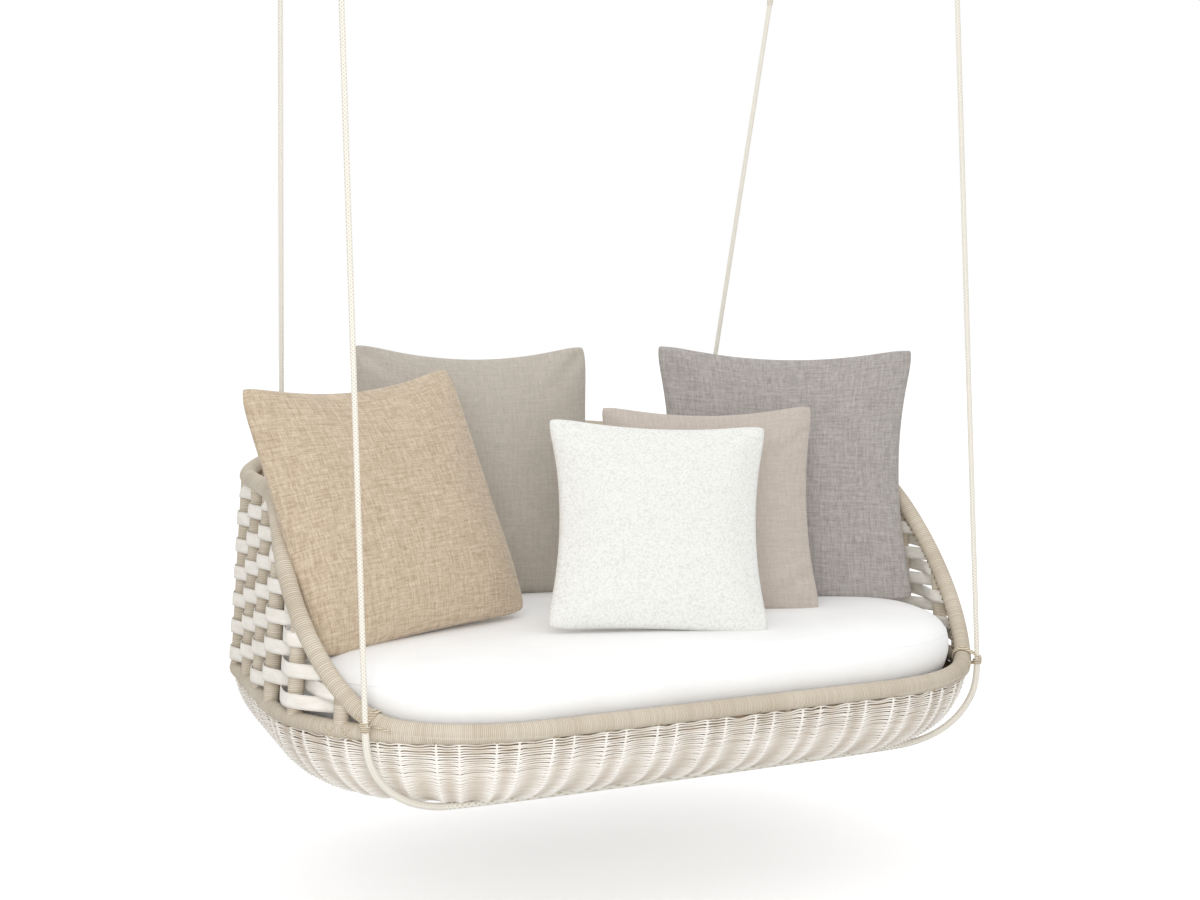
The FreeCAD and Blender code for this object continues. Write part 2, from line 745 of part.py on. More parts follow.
def ceiling_plate():
    """A round plate with its screw holes, its back on the ceiling."""
    plate = Part.makeCylinder(PLATE_RADIUS, PLATE_THICKNESS, V(0, 0, -PLATE_THICKNESS))
    rim = [edge for edge in plate.Edges if edge.BoundBox.ZMax < -PLATE_THICKNESS / 2]
    plate = plate.makeFillet(PLATE_EDGE_ROUND, rim)
    for index in range(SCREWS):
        place = unit(math.pi * (2 * index + 1) / SCREWS) * (SCREW_CIRCLE / 2)
        hole = Part.makeCylinder(SCREW_HOLE, PLATE_THICKNESS + 2 * OVERRUN,
                                 place - UP * (PLATE_THICKNESS + OVERRUN))
        plate = plate.cut(hole)
    return plate


def ceiling_eye():
    """A bent bar under the plate whose level part carries the thimble."""
    top = -PLATE_THICKNESS
    route = [V(-EYE_HALF_WIDTH, 0, top), V(-EYE_HALF_WIDTH, 0, -EYE_DROP),
             V(EYE_HALF_WIDTH, 0, -EYE_DROP), V(EYE_HALF_WIDTH, 0, top)]
    return tube(route, EYE_BAR_RADIUS)


# Hooks and ties, from the ceiling
def hook(side, front):
    """The middle of a ceiling eye's level bar."""
    across = FRONT_HOOK_X if front else BACK_HOOK_X
    along = -HOOK_SPREAD_Y / 2 if front else HOOK_SPREAD_Y / 2
    return V(side * across, along, -EYE_DROP)


def rope_tie(side, front):
    """Where a rope's pull ends on the basket, from the ceiling."""
    if front:
        return front_tie(side) + SEAT_TO_CEILING
    way = side * BACK_TIE_WAY
    point, _ = wall_point(way, rim_height(way))
    return point + SEAT_TO_CEILING


EYE_BEND = THIMBLE_BORE + THIMBLE_WALL + ROPE_EYE_SLACK + ROPE_RADIUS
THIMBLE_SINK = THIMBLE_BORE - EYE_BAR_RADIUS - THIMBLE_GAP
RIM_EYE_BEND = RIM_RADIUS + RIM_EYE_SLACK + ROPE_RADIUS
RIM_EYE_LIFT = RIM_EYE_SLACK - RIM_EYE_SEAT


def hang(shape, side, front):
    """Turn a rope fitting, drawn hanging straight, along its rope below its ceiling eye."""
    pull = rope_tie(side, front) - hook(side, front)
    swing = math.degrees(math.atan2(pull.y, -pull.z))
    placed = shape.copy()
    placed.translate(-UP * THIMBLE_SINK)
    placed.rotate(V(0, 0, 0), V(1, 0, 0), swing)
    placed.translate(hook(side, front))
    return placed


def rope_start(side, front):
    """The lower end of the upper splice, where the bare rope begins."""
    start = Part.Vertex(V(0, 0, -SPLICE_DROP - SPLICE_LENGTH - 2 * SEAT_GAP))
    return hang(start, side, front).Point


def rim_eye_frame(side):
    """The rim's middle at a back tie, with the way up the rope and the rim's own way."""
    tie = rope_tie(side, False)
    up = (rope_start(side, False) - tie).normalize()
    before, after = [wall_point(side * way, rim_height(side * way))[0]
                     for way in (BACK_TIE_WAY - RIM_RADIUS, BACK_TIE_WAY + RIM_RADIUS)]
    along = (after - before) * side
    along = (along - up * along.dot(up)).normalize()
    return tie, up, along


def on_rim(shape, side):
    """Turn a rope fitting, drawn hanging below its eye, so that its eye pulls on the back rim."""
    tie, up, along = rim_eye_frame(side)
    tie = tie + up * RIM_EYE_LIFT
    depth = along.cross(up)
    matrix = FreeCAD.Matrix(along.x, depth.x, -up.x, tie.x,
                            along.y, depth.y, -up.y, tie.y,
                            along.z, depth.z, -up.z, tie.z,
                            0, 0, 0, 1)
    moved = shape.copy()
    moved.Placement = FreeCAD.Placement(matrix).multiply(shape.Placement)
    return moved


def back_rope_end(side):
    """The lower end of a back rope, at the top of the splice above the rim."""
    tie, up, _ = rim_eye_frame(side)
    return tie + up * (RIM_EYE_LIFT + RIM_EYE_DROP + SPLICE_LENGTH + 2 * SEAT_GAP)


def make_hanging():
    """Ceiling plates and eyes, and the four ropes with their fittings."""
    corners = [(side, front) for front in (True, False) for side in SIDES]
    plates = []
    eyes = []
    for side, front in corners:
        level = V(hook(side, front).x, hook(side, front).y, 0)
        plates.append(ceiling_plate().translated(level))
        eyes.append(ceiling_eye().translated(level))
    save("ceiling_plates", group(plates))
    save("ceiling_eyes", group(eyes))
    upper = {"thimbles": thimble(), "rope_eyes": eye_rope(EYE_BEND, SPLICE_DROP, ROPE_RADIUS),
             "splices": splice(SPLICE_DROP)}
    for front, word in ((True, "front"), (False, "back")):
        for name, shape in upper.items():
            save(word + "_" + name, group([hang(shape, side, front) for side in SIDES]))
    ends = {"rim_eyes": eye_rope(RIM_EYE_BEND, RIM_EYE_DROP, ROPE_RADIUS),
            "rim_splices": splice(RIM_EYE_DROP)}
    for name, shape in ends.items():
        save("back_" + name, group([on_rim(shape, side) for side in SIDES]))
    for side, word in ((-1, "left"), (1, "right")):
        start = rope_start(side, True)
        tie = rope_tie(side, True)
        end = tie + (start - tie).normalize() * (PIVOT_GAP / 2)
        save("front_" + word + "_rope", rod(start, end, ROPE_RADIUS))
        save("back_" + word + "_rope",
             rod(rope_start(side, False), back_rope_end(side), ROPE_RADIUS))
    print("front pivot", rope_tie(1, True), "back tie", rope_tie(1, False))


def biarc(first, first_way, last, last_way):
    """Two arcs that leave and arrive along given directions."""
    gap = last - first
    ways = first_way + last_way
    square = 2 * (1 - first_way.dot(last_way))
    linear = 2 * gap.dot(ways)
    reach = (-linear + math.sqrt(linear ** 2 + 4 * square * gap.dot(gap))) / (2 * square)
    corner_one = first + first_way * reach
    corner_two = last - last_way * reach
    middle = midpoint(corner_one, corner_two)
    return [corner_arc(first, corner_one, middle)[0], corner_arc(middle, corner_two, last)[0]]


def coil(radius, pitch, turns, wire):
    """One unbroken winding of cord round the Z axis, in half turns of two arcs each."""
    climb = pitch / (2 * math.pi)

    def place(angle):
        return V(radius * math.cos(angle), radius * math.sin(angle), climb * angle)

    def way(angle):
        return V(-radius * math.sin(angle), radius * math.cos(angle), climb).normalize()

    edges = []
    steps = 2 * turns
    for index in range(steps):
        low, high = index * math.pi, (index + 1) * math.pi
        edges += biarc(place(low), way(low), place(high), way(high))
    ring = Part.Wire(Part.makeCircle(wire, place(0), way(0)))
    print("coil gap between turns", round(pitch * math.cos(math.atan(climb / radius)) - 2 * wire, 2))
    return Part.Wire(edges).makePipeShell([ring], True, False)


def make_ties():
    """A short winding of cord round the rim behind each front rope, over the rim's joint."""
    winding = coil(RIM_RADIUS + TIE_CLEARANCE + TIE_CORD_RADIUS, TIE_PITCH, TIE_TURNS,
                   TIE_CORD_RADIUS)
    winding.translate(-UP * (TIE_TURNS * TIE_PITCH / 2))
    ties = []
    routes = rim_routes()
    for side in SIDES:
        place, ahead = routes[side][:2]
        turn = FreeCAD.Rotation(UP, ahead - place)
        placed = winding.copy()
        placed.Placement = FreeCAD.Placement(place, turn).multiply(placed.Placement)
        ties.append(placed)
    return ties


def make_seat_cushion():
    """The seat cushion: rounded lower edge, upright border, and a crowned top."""
    bottom = DECK_TOP + BELT_THICKNESS + SEAT_GAP
    border = CUSHION_SEAM - bottom
    crown = CUSHION_TOP - CUSHION_SEAM
    spread = CUSHION_CROWN_INSET - CUSHION_INSET
    sections = [(CUSHION_INSET + inset * CUSHION_EDGE_ROUND, bottom + rise * border)
                for inset, rise in CUSHION_EDGE_SHARES]
    sections += [(CUSHION_INSET + inset * spread, CUSHION_SEAM + rise * crown)
                 for inset, rise in CUSHION_CROWN_SHARES]
    wires = [outline_face(-inset, height).OuterWire for inset, height in sections]
    return Part.makeLoft(wires, True, True)


def make_pillow(width, thickness):
    """A square cushion that swells to its middle, with four ears and drawn-in sides."""
    half = width / 2
    waist = half * PILLOW_WAIST_SHARE
    wires = []
    for level in PILLOW_LEVEL_SHARES:
        side = half - waist * (1 - level ** 2)
        swell = (1 - abs(level) ** (2 + PILLOW_WAIST_SHARE)) ** PILLOW_FULLNESS_SHARE
        deep = PILLOW_SEAM / 2 + (thickness - PILLOW_SEAM) / 2 * swell
        left, right = V(-side, 0, half * level), V(side, 0, half * level)
        front, back = V(0, -deep, half * level), V(0, deep, half * level)
        wires.append(Part.Wire([Part.Arc(left, front, right).toShape(),
                                Part.Arc(right, back, left).toShape()]))
    body = Part.makeLoft(wires, True, False)
    sag_radius = (half ** 2 + waist ** 2) / (2 * waist)
    for sign in (-1, 1):
        centre = V(0, -thickness, sign * (half - waist + sag_radius))
        body = body.cut(Part.makeCylinder(sag_radius, 2 * thickness, centre, V(0, 1, 0)))
    return body


def set_pillow(pillow, cushion, place, turn, lean, roll):
    """Lean a pillow back, turn it, and let it down on the seat cushion."""
    placed = pillow.copy()
    for axis, angle in ((V(0, 1, 0), roll), (V(1, 0, 0), -lean), (UP, turn)):
        placed.rotate(V(0, 0, 0), axis, angle)
    lowest = placed.optimalBoundingBox().ZMin
    placed.translate(V(place[0], place[1], CUSHION_TOP + PILLOW_SEAT_GAP - lowest))
    for _ in range(SETTLE_STEPS):
        gap = placed.distToShape(cushion)[0]
        placed.translate(-UP * (gap - PILLOW_SEAT_GAP))
    return placed


def make_pillows(cushion):
    """The five scatter cushions where they stand."""
    large = make_pillow(LARGE_PILLOW, LARGE_PILLOW_THICKNESS)
    small = make_pillow(SMALL_PILLOW, SMALL_PILLOW_THICKNESS)
    sand = (SAND_INSET - HALF_WIDTH, SAND_BACK)
    taupe = (-TAUPE_LEFT, DEPTH - TAUPE_INSET)
    grey = (HALF_WIDTH - GREY_INSET, GREY_BACK)
    return {"sand_pillow": set_pillow(large, cushion, sand, *SAND_TURN),
            "taupe_pillow": set_pillow(large, cushion, taupe, *TAUPE_TURN),
            "grey_pillow": set_pillow(large, cushion, grey, *GREY_TURN),
            "small_taupe_pillow": set_pillow(small, cushion, SMALL_TAUPE_PLACE,
                                             *SMALL_TAUPE_TURN),
            "white_pillow": set_pillow(small, cushion, WHITE_PLACE, *WHITE_TURN)}


def main():
    os.makedirs(PARTS, exist_ok=True)
    rim = make_rim()
    for name, piece in rim.items():
        save_seat(name, piece)
    rail = make_rail(rim)
    save_seat("base_rail", rail)
    for name, posts in make_posts(rim, rail).items():
        save_seat(name + "_posts", group(posts))
    for name, straps in make_straps().items():
        save_seat(name + "_straps", group(straps))
    save_seat("wicker_bowl", make_bowl())
    save_seat("bowl_ribs", group([make_rib(way) for way in rib_ways()]))
    save_seat("bottom_ring", ring_tube(BOTTOM_RING_OFFSET, BOTTOM_RING_HEIGHT, RING_RADIUS))
    save_seat("deck_ring", ring_tube(DECK_OFFSET, -DECK_DROP, RING_RADIUS))
    save_seat("deck_belts", group(make_belts()))
    save_seat("front_sling", cord("front_sling", sling_route(), SLING_RADIUS))
    save_seat("front_ties", group(make_ties()))
    cushion = make_seat_cushion()
    save_seat("seat_cushion", cushion)
    for name, pillow in make_pillows(cushion).items():
        save_seat(name, pillow)
    make_hanging()
    for name, solids, volume in SAVED:
        print(name, solids, "solids,", round(volume), "mm3")


main()
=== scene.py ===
"""Dresses the hanging lounger: wound cane, woven straps, wicker strands, cloth and rope."""

import json
import math

import bmesh
import bpy
import numpy as np
from mathutils import Matrix, Vector, noise

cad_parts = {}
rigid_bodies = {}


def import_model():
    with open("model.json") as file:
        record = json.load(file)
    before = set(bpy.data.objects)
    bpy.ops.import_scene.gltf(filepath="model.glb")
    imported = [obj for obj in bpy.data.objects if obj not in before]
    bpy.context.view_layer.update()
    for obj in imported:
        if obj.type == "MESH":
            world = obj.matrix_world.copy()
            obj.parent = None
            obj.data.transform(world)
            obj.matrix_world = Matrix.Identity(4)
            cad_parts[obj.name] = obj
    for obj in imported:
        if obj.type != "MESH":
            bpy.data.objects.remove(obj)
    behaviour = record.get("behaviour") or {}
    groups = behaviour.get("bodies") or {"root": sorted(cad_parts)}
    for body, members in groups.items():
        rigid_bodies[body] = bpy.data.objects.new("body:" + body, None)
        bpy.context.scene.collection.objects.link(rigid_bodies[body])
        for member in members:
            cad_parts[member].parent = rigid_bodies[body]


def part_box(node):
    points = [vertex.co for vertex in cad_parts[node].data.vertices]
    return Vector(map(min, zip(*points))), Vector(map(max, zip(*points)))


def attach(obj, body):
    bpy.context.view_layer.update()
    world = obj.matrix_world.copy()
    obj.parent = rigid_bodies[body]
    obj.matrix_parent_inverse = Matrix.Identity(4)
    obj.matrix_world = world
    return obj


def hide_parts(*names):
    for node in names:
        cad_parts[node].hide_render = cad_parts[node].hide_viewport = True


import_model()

bl_info = {
    "name": "Hanging lounger",
    "version": (1, 0, 0),
    "blender": (4, 5, 0),
    "location": "3D View > Sidebar > Lounger",
    "description": "Builds the woven, padded and painted parts of a hanging lounger",
    "category": "Add Mesh",
}

# The base loop, as in the part's source, in metres
SEAT_AT = np.array((0.0, -0.609, -2.0))
HALF_WIDTH = 0.946
DEPTH = 1.282
FRONT_CORNER = 0.471
BACK_CORNER = 0.309
BACK_TAPER = 0.077
WALL_LEAN = 0.069
SHOULDER_HEIGHT = 0.504
RISE_START = 0.166
RISE_END = 0.636
RISE_SOFTNESS = 0.12
BACK_ARCH = 0.093
FRONT_CENTRE = np.array((HALF_WIDTH - FRONT_CORNER, FRONT_CORNER))
BACK_CENTRE = np.array((HALF_WIDTH - BACK_TAPER - BACK_CORNER, DEPTH - BACK_CORNER))
CENTRES_APART = math.hypot(*(BACK_CENTRE - FRONT_CENTRE))
RADIUS_DROP = FRONT_CORNER - BACK_CORNER
SIDE_ANGLE = (math.atan2(BACK_CENTRE[1] - FRONT_CENTRE[1], BACK_CENTRE[0] - FRONT_CENTRE[0])
              - math.acos(RADIUS_DROP / CENTRES_APART))
SIDE_LENGTH = math.sqrt(CENTRES_APART ** 2 - RADIUS_DROP ** 2)
FRONT_ARC = FRONT_CORNER * (SIDE_ANGLE + math.pi / 2)
BACK_ARC = BACK_CORNER * (math.pi / 2 - SIDE_ANGLE)
FRONT_END = FRONT_CENTRE[0]
SIDE_START = FRONT_END + FRONT_ARC
SIDE_END = SIDE_START + SIDE_LENGTH
BACK_START = SIDE_END + BACK_ARC
HALF_LOOP = BACK_START + BACK_CENTRE[0]
FRONT_TIE_WAY = FRONT_END + FRONT_ARC / 2
BACK_CUT_WAY = SIDE_END + BACK_ARC / 2
BACK_TIE_WAY = 2.07747
LOOP = 2 * HALF_LOOP

# Where the rail comes out from under the front rim, and over how far it drops to its height
RAIL_START = FRONT_END - 0.05
RAIL_EASE = 0.10

# Tubes, posts and straps
RIM_RADIUS = 0.023
CANE_RADIUS = RIM_RADIUS - 0.0015
CANE_GROOVE = 0.0007
RAIL_RADIUS = 0.020
RAIL_HEIGHT = RAIL_RADIUS - RIM_RADIUS
POST_RADIUS = 0.019
FIRST_POST = 0.967
POST_PITCH = 0.164
POST_GAPS = round(2 * (HALF_LOOP - FIRST_POST) / POST_PITCH)
POST_STEP = 2 * (HALF_LOOP - FIRST_POST) / POST_GAPS
STRAP_WIDTH = 0.034
STRAP_PITCH = 0.0352
STRAP_THICKNESS = 0.0025
STRAP_FIRST = 0.0268
STRAP_ROWS = 15
STRAP_SLACK = 0.0019
STRAP_SWING = POST_RADIUS + STRAP_THICKNESS / 2 + STRAP_SLACK
# The top rows that stop short of the back ropes' eyes, and how far from their middle
SPLIT_ROWS = 3
EYE_ROOM = 0.016

# The wicker bowl
BOWL_DEPTH = 0.195
BOWL_OVERHANG = 0.009
STAKE_PITCH = 0.068
# How far a stake stands towards the other of its pair, as a share of the pitch
STAKE_PAIRING = 0.118
# The first and last strand's angle below the level
STRANDS_FROM = math.radians(6.8)
STRANDS_TO = math.radians(89.5)
# The step from strand to strand low down, and how much more it is at the top
STRAND_STEP = 0.0055
STRAND_MORE = 0.0018
# How far a strand sinks in between stakes, sags there, and weaves out and in at them
STRAND_SINK = 0.0064
STRAND_SAG = 0.0058
STRAND_WEAVE = 0.0010
FLOOR_STRAND_STEP = 0.0054
FLOOR_STAKE_PITCH = 0.0466

# Ropes and ties
ROPE_RADIUS = 0.0065
SLING_RADIUS = 0.0085
LACING_RADIUS = 0.0017
STITCH_RADIUS = 0.0013
WELT_RADIUS = 0.0012
FRONT_HOOK = Vector((0.858, -0.337, -0.040))
BACK_HOOK = Vector((0.744, 0.337, -0.040))
FRONT_TIE_OUT = 0.0372
FRONT_TIE_HEIGHT = 0.016
PIVOT_GAP = 0.0007
THIMBLE_SINK = 0.0067
UPPER_SPLICE_END = 0.1426
RIM_SPLICE_END = 0.1791
SLING_FLAT_OUT = 0.025
SLING_FLAT_FORWARD = 0.257
SLING_RUN = 0.388
SLING_POINTS = ((0.0, 0.040), (0.026, 0.100), (0.080, 0.152), (0.160, 0.188), (0.270, 0.2045))

# Cushions
CUSHION_BOTTOM = -0.0492
CUSHION_TOP = 0.136
CUSHION_SEAM = 0.092
# The seat's section, from its underside's middle over the border to its top's middle:
# share of the way, how far in from the loop, and height
SEAT_SECTION = np.array((
    (0.0, 1.0, CUSHION_BOTTOM), (0.24, 0.20, CUSHION_BOTTOM),
    (0.32, 0.085, CUSHION_BOTTOM + 0.004), (0.37, 0.048, -0.022), (0.42, 0.030, 0.008),
    (0.50, 0.022, 0.045), (0.56, 0.022, 0.078), (0.62, 0.030, 0.100), (0.69, 0.050, 0.1175),
    (0.77, 0.085, 0.1285), (0.86, 0.14, 0.1345), (1.0, 1.0, CUSHION_TOP)))
# How far in the section follows the loop, and how much further in it stands by the wall
SEAT_EDGE = 0.19
SEAT_BY_WALL = 0.009
FILL_FRAMES = 20
# What the pressure adds to each side of a scatter cushion, and its rest on the seat
PILLOW_SWELL = 0.010
PRESSED = 0.003
# A scatter cushion's size and thickness
LARGE_PILLOW = (0.645, 0.170)
SMALL_PILLOW = (0.535, 0.140)
# Of each cushion: its cloth, size, (turn, lean, roll), stretch to its ears across and up,
# how far its top, sides and foot are drawn in, and a shift along the row
PILLOWS = {
    "sand_pillow": ("sand_cloth", LARGE_PILLOW, (19.0, 22.5, -2.7), (1.125, 1.115),
                    (0.14, 0.015, 0.03), -0.015),
    "taupe_pillow": ("taupe_cloth", LARGE_PILLOW, (-10.0, 11.0, 1.0), (1.11, 1.17),
                     (0.14, 0.05, 0.02), 0.0),
    "grey_pillow": ("grey_cloth", LARGE_PILLOW, (-29.0, 12.0, 1.0), (1.195, 1.165),
                    (0.13, 0.13, 0.02), 0.030),
    "small_taupe_pillow": ("light_taupe_cloth", SMALL_PILLOW, (-24.0, 13.5, 0.0),
                           (1.145, 1.115), (0.12, 0.10, 0.02), 0.0),
    "white_pillow": ("white_boucle", SMALL_PILLOW, (-19.0, 17.0, 3.0), (1.12, 1.065),
                     (0.09, 0.12, 0.03), 0.0),
}
# Their form: how round the ears are, how low the belly sits, and how full it is
EAR_ROUNDING = 0.058
BELLY_DROP = 0.14
CROWN_POWER = 2.3
CROWN_FULLNESS = 0.56
FOLD_HEIGHT = 0.0032
LUMP_HEIGHT = 0.0045
# How wide a crease is, and the swell beside it: its share of the depth, distance and width
CREASE_WIDTH = 0.035
CREASE_SWELL = (0.55, 0.09, 0.06)
# Creases in a cushion's front: both ends in shares of its half size, and the depth
CREASES = {
    "sand_pillow": ((-0.98, -0.42, -0.30, -0.18, 0.0099), (-0.75, -0.95, -0.55, -0.70, 0.0088)),
    "small_taupe_pillow": ((0.95, -0.62, 0.60, -0.80, 0.0110), (0.90, 0.70, 0.62, 0.45, 0.0066)),
    "white_pillow": ((-0.95, 0.02, -0.55, 0.06, 0.0088), (-0.90, -0.80, -0.55, -0.66, 0.0088)),
    "grey_pillow": ((0.97, -0.10, 0.62, 0.05, 0.0088), (0.92, -0.85, 0.66, -0.64, 0.0088)),
    "taupe_pillow": ((-0.9, 0.92, -0.5, 0.66, 0.0066), (0.92, 0.90, 0.6, 0.62, 0.0066)),
}

# The camera, solved from the photograph
CAMERA_AT = (-2.436, -4.463, -1.034)
CAMERA_TURN = (85.54, 0.0, -28.472)
CAMERA_LENS = 58.524
FLOOR_HEIGHT = -2.54

# The studio: its floor's grey and what the camera sees on top, and its lamps, each with its
# place and width, which face the middle of the lounger
FLOOR_SIZE = 40.0
FLOOR_GREY = 0.80
FLOOR_GLOW = 0.45
LIT_MIDDLE = Vector((0.0, 0.0, -1.8))
KEY_LAMP = ((-2.8, -4.9, -0.5), 3.0)
TOP_LAMP = ((0.2, 0.0, 1.6), 3.2)

# Pitches of the finishes' patterns
LINEN_THREAD = 0.0022
STRAP_THREAD = 0.0021
ROPE_LAY = 0.017


# Places on the basket

def plan(way, offset=0.0):
    """Plan points of the base loop at signed ways from the front's middle, and outward normals."""
    way = np.atleast_1d(np.asarray(way, float))
    side = np.where(way >= 0, 1.0, -1.0)
    run = np.abs(way)
    stretches = [run <= FRONT_END, run <= SIDE_START, run <= SIDE_END, run <= BACK_START]
    angle = np.select(stretches,
                      [-math.pi / 2 + 0 * run, -math.pi / 2 + (run - FRONT_END) / FRONT_CORNER,
                       SIDE_ANGLE + 0 * run, SIDE_ANGLE + (run - SIDE_END) / BACK_CORNER],
                      math.pi / 2)
    normal = np.stack((np.cos(angle), np.sin(angle)), axis=1)
    along = np.array((-math.sin(SIDE_ANGLE), math.cos(SIDE_ANGLE)))
    beside = FRONT_CENTRE + (run - SIDE_START)[:, None] * along
    front = np.stack((run, 0 * run + FRONT_CORNER), axis=1)
    back = np.stack((HALF_LOOP - run, 0 * run + BACK_CENTRE[1]), axis=1)
    conditions = [stretch[:, None] for stretch in stretches]
    centre = np.select(conditions, [front, FRONT_CENTRE + 0 * front, beside,
                                    BACK_CENTRE + 0 * front], back)
    radius = np.where(run <= SIDE_END, FRONT_CORNER, BACK_CORNER) + offset
    point = centre + normal * radius[:, None]
    point[:, 0] *= side
    normal[:, 0] *= side
    return point, normal


def eased(value):
    """A value held between 0 and 1, with soft ends."""
    share = np.clip(value, 0, 1)
    return share * share * (3 - 2 * share)


def softened(share):
    """Zero before 0 and rising one for one after it, with a soft knee."""
    return (share + np.sqrt(share ** 2 + RISE_SOFTNESS ** 2)) / 2


def rise_at(depth):
    """Height of the rim's ramp over the base loop at a depth."""
    def ramp(place):
        share = (place - RISE_START) / (RISE_END - RISE_START)
        return softened(share) - softened(share - 1)
    return SHOULDER_HEIGHT * (ramp(depth) - ramp(0.0))


def rim_height(way):
    """Height of the rim's centre line at ways along the loop."""
    point, _ = plan(way)
    arch = BACK_ARCH * eased((point[:, 1] - BACK_CENTRE[1]) / BACK_CORNER)
    arch = arch * np.cos(point[:, 0] / HALF_WIDTH * math.pi / 2)
    return np.where(np.abs(way) <= FRONT_END, 0.0, rise_at(point[:, 1]) + arch)


def wall(way, height, offset=0.0):
    """Points of the leaning wall's middle surface in the row frame, moved outward."""
    way = np.atleast_1d(np.asarray(way, float))
    height = np.broadcast_to(height, way.shape).astype(float)
    point, normal = plan(way, offset - WALL_LEAN * height)
    return np.column_stack((point, height)) + SEAT_AT, normal


def around(way):
    """Ways counted on past the middle of the back, as signed ways."""
    way = np.asarray(way, float)
    return np.where(way <= HALF_LOOP, way, way - LOOP)


def rim_line(way):
    """Points of the rim's centre line in the row frame."""
    return wall(around(way), rim_height(around(way)))[0]


def rail_height(way):
    """Height of the base rail's centre line, which comes out from under the front rim."""
    return RAIL_HEIGHT * eased((np.abs(way) - RAIL_START) / RAIL_EASE)


def rim_way(height):
    """The way on the right half where the rim's centre line reaches a height."""
    ways = np.linspace(FRONT_END, HALF_LOOP, 1200)
    heights = np.maximum.accumulate(rim_height(ways))
    return np.interp(height, heights, ways)


# Mesh helpers

def coordinates(mesh):
    """A mesh's points as an array."""
    flat = np.empty(len(mesh.vertices) * 3)
    mesh.vertices.foreach_get("co", flat)
    return flat.reshape(-1, 3)


def place(mesh, points):
    """Give a mesh its points."""
    mesh.vertices.foreach_set("co", np.ascontiguousarray(points, float).ravel())
    mesh.update()


def lay_uv(mesh, across, along):
    """A UV map from one value pair for each point, in metres."""
    index = np.empty(len(mesh.loops), int)
    mesh.loops.foreach_get("vertex_index", index)
    layer = mesh.uv_layers.new(name="UVMap")
    layer.uv.foreach_set("vector", np.column_stack((across, along))[index].ravel())


def unit_grid(name, columns, rows):
    """A grid mesh, with each point's shares along and up."""
    bm = bmesh.new()
    bmesh.ops.create_grid(bm, x_segments=columns, y_segments=rows, size=1.0)
    mesh = bpy.data.meshes.new(name)
    bm.to_mesh(mesh)
    bm.free()
    points = coordinates(mesh)
    return mesh, (points[:, 0] + 1) / 2, (points[:, 1] + 1) / 2


def join(name, meshes, weld=0.0):
    """Several meshes as one, welded where a distance is given."""
    bm = bmesh.new()
    for mesh in meshes:
        bm.from_mesh(mesh)
    if weld:
        bmesh.ops.remove_doubles(bm, verts=bm.verts, dist=weld)
        bmesh.ops.recalc_face_normals(bm, faces=bm.faces)
    joined = bpy.data.meshes.new(name)
    bm.to_mesh(joined)
    bm.free()
    for mesh in meshes:
        bpy.data.meshes.remove(mesh)
    return joined


def tubes(name, lines, radius=0.0, turns=4, radii=None, closed=False, kind="POLY"):
    """Round tubes along lines of points as one mesh, or bare lines where there is no radius."""
    curve = bpy.data.curves.new(name, "CURVE")
    curve.dimensions = "3D"
    curve.bevel_depth = radius
    curve.bevel_resolution = turns
    curve.use_fill_caps = radius > 0 and not closed
    for index, line in enumerate(lines):
        spline = curve.splines.new(kind)
        spline.points.add(len(line) - 1)
        spline.points.foreach_set("co", np.column_stack((line, np.ones(len(line)))).ravel())
        if radii is not None:
            spline.points.foreach_set("radius", radii[index])
        spline.use_cyclic_u = closed
        spline.use_smooth = True
        if kind == "NURBS":
            spline.order_u = 3
            spline.use_endpoint_u = True
            spline.resolution_u = 16
    holder = bpy.data.objects.new(name, curve)
    mesh = bpy.data.meshes.new_from_object(holder)
    bpy.data.objects.remove(holder)
    bpy.data.curves.remove(curve)
    mesh.name = name
    return mesh


def apply_modifiers(piece):
    """Make a piece's modifiers part of its mesh."""
    graph = bpy.context.evaluated_depsgraph_get()
    finished = bpy.data.meshes.new_from_object(piece.evaluated_get(graph))
    old = piece.data
    piece.modifiers.clear()
    piece.data = finished
    finished.shade_smooth()
    bpy.data.meshes.remove(old)


def smooth_wander(count, seed, spacing):
    """A gentle closed wander between -1 and 1, from a seed."""
    values = np.random.default_rng(seed).uniform(-1, 1, max(4, int(count / spacing)))
    places = np.linspace(0, len(values), count)
    return np.interp(places, np.arange(len(values) + 1), np.append(values, values[0]))


# Materials

def linear(colour):
    """A colour from screen values to the values that the shader takes."""
    return tuple(part / 12.92 if part <= 0.04045 else ((part + 0.055) / 1.055) ** 2.4
                 for part in colour)


def new_material(name, roughness, sheen=0.0, specular=0.5, metallic=0.0):
    """A material with its shader's constant sockets set."""
    material = bpy.data.materials.new(name)
    material.use_nodes = True
    shader = material.node_tree.nodes["Principled BSDF"]
    shader.inputs["Roughness"].default_value = roughness
    shader.inputs["Sheen Weight"].default_value = sheen
    shader.inputs["Sheen Roughness"].default_value = 0.5
    shader.inputs["Specular IOR Level"].default_value = specular
    shader.inputs["Metallic"].default_value = metallic
    return material


def node(material, kind, settings=(), **sockets):
    """A node with its settings, and its sockets linked or given values."""
    made = material.node_tree.nodes.new("ShaderNode" + kind)
    for name, value in dict(settings).items():
        setattr(made, name, value)
    for name, value in sockets.items():
        socket = made.inputs[int(name[1:]) if name[1:].isdigit() else name.replace("_", " ")]
        if isinstance(value, bpy.types.NodeSocket):
            material.node_tree.links.new(value, socket)
        else:
            socket.default_value = value
    return made


def spread(material, space, scale):
    """Coordinates of the surface, stretched by one scale or by three."""
    scales = scale if isinstance(scale, tuple) else (scale, scale, scale)
    source = node(material, "TexCoord").outputs[space]
    return node(material, "Mapping", Vector=source, Scale=scales).outputs["Vector"]


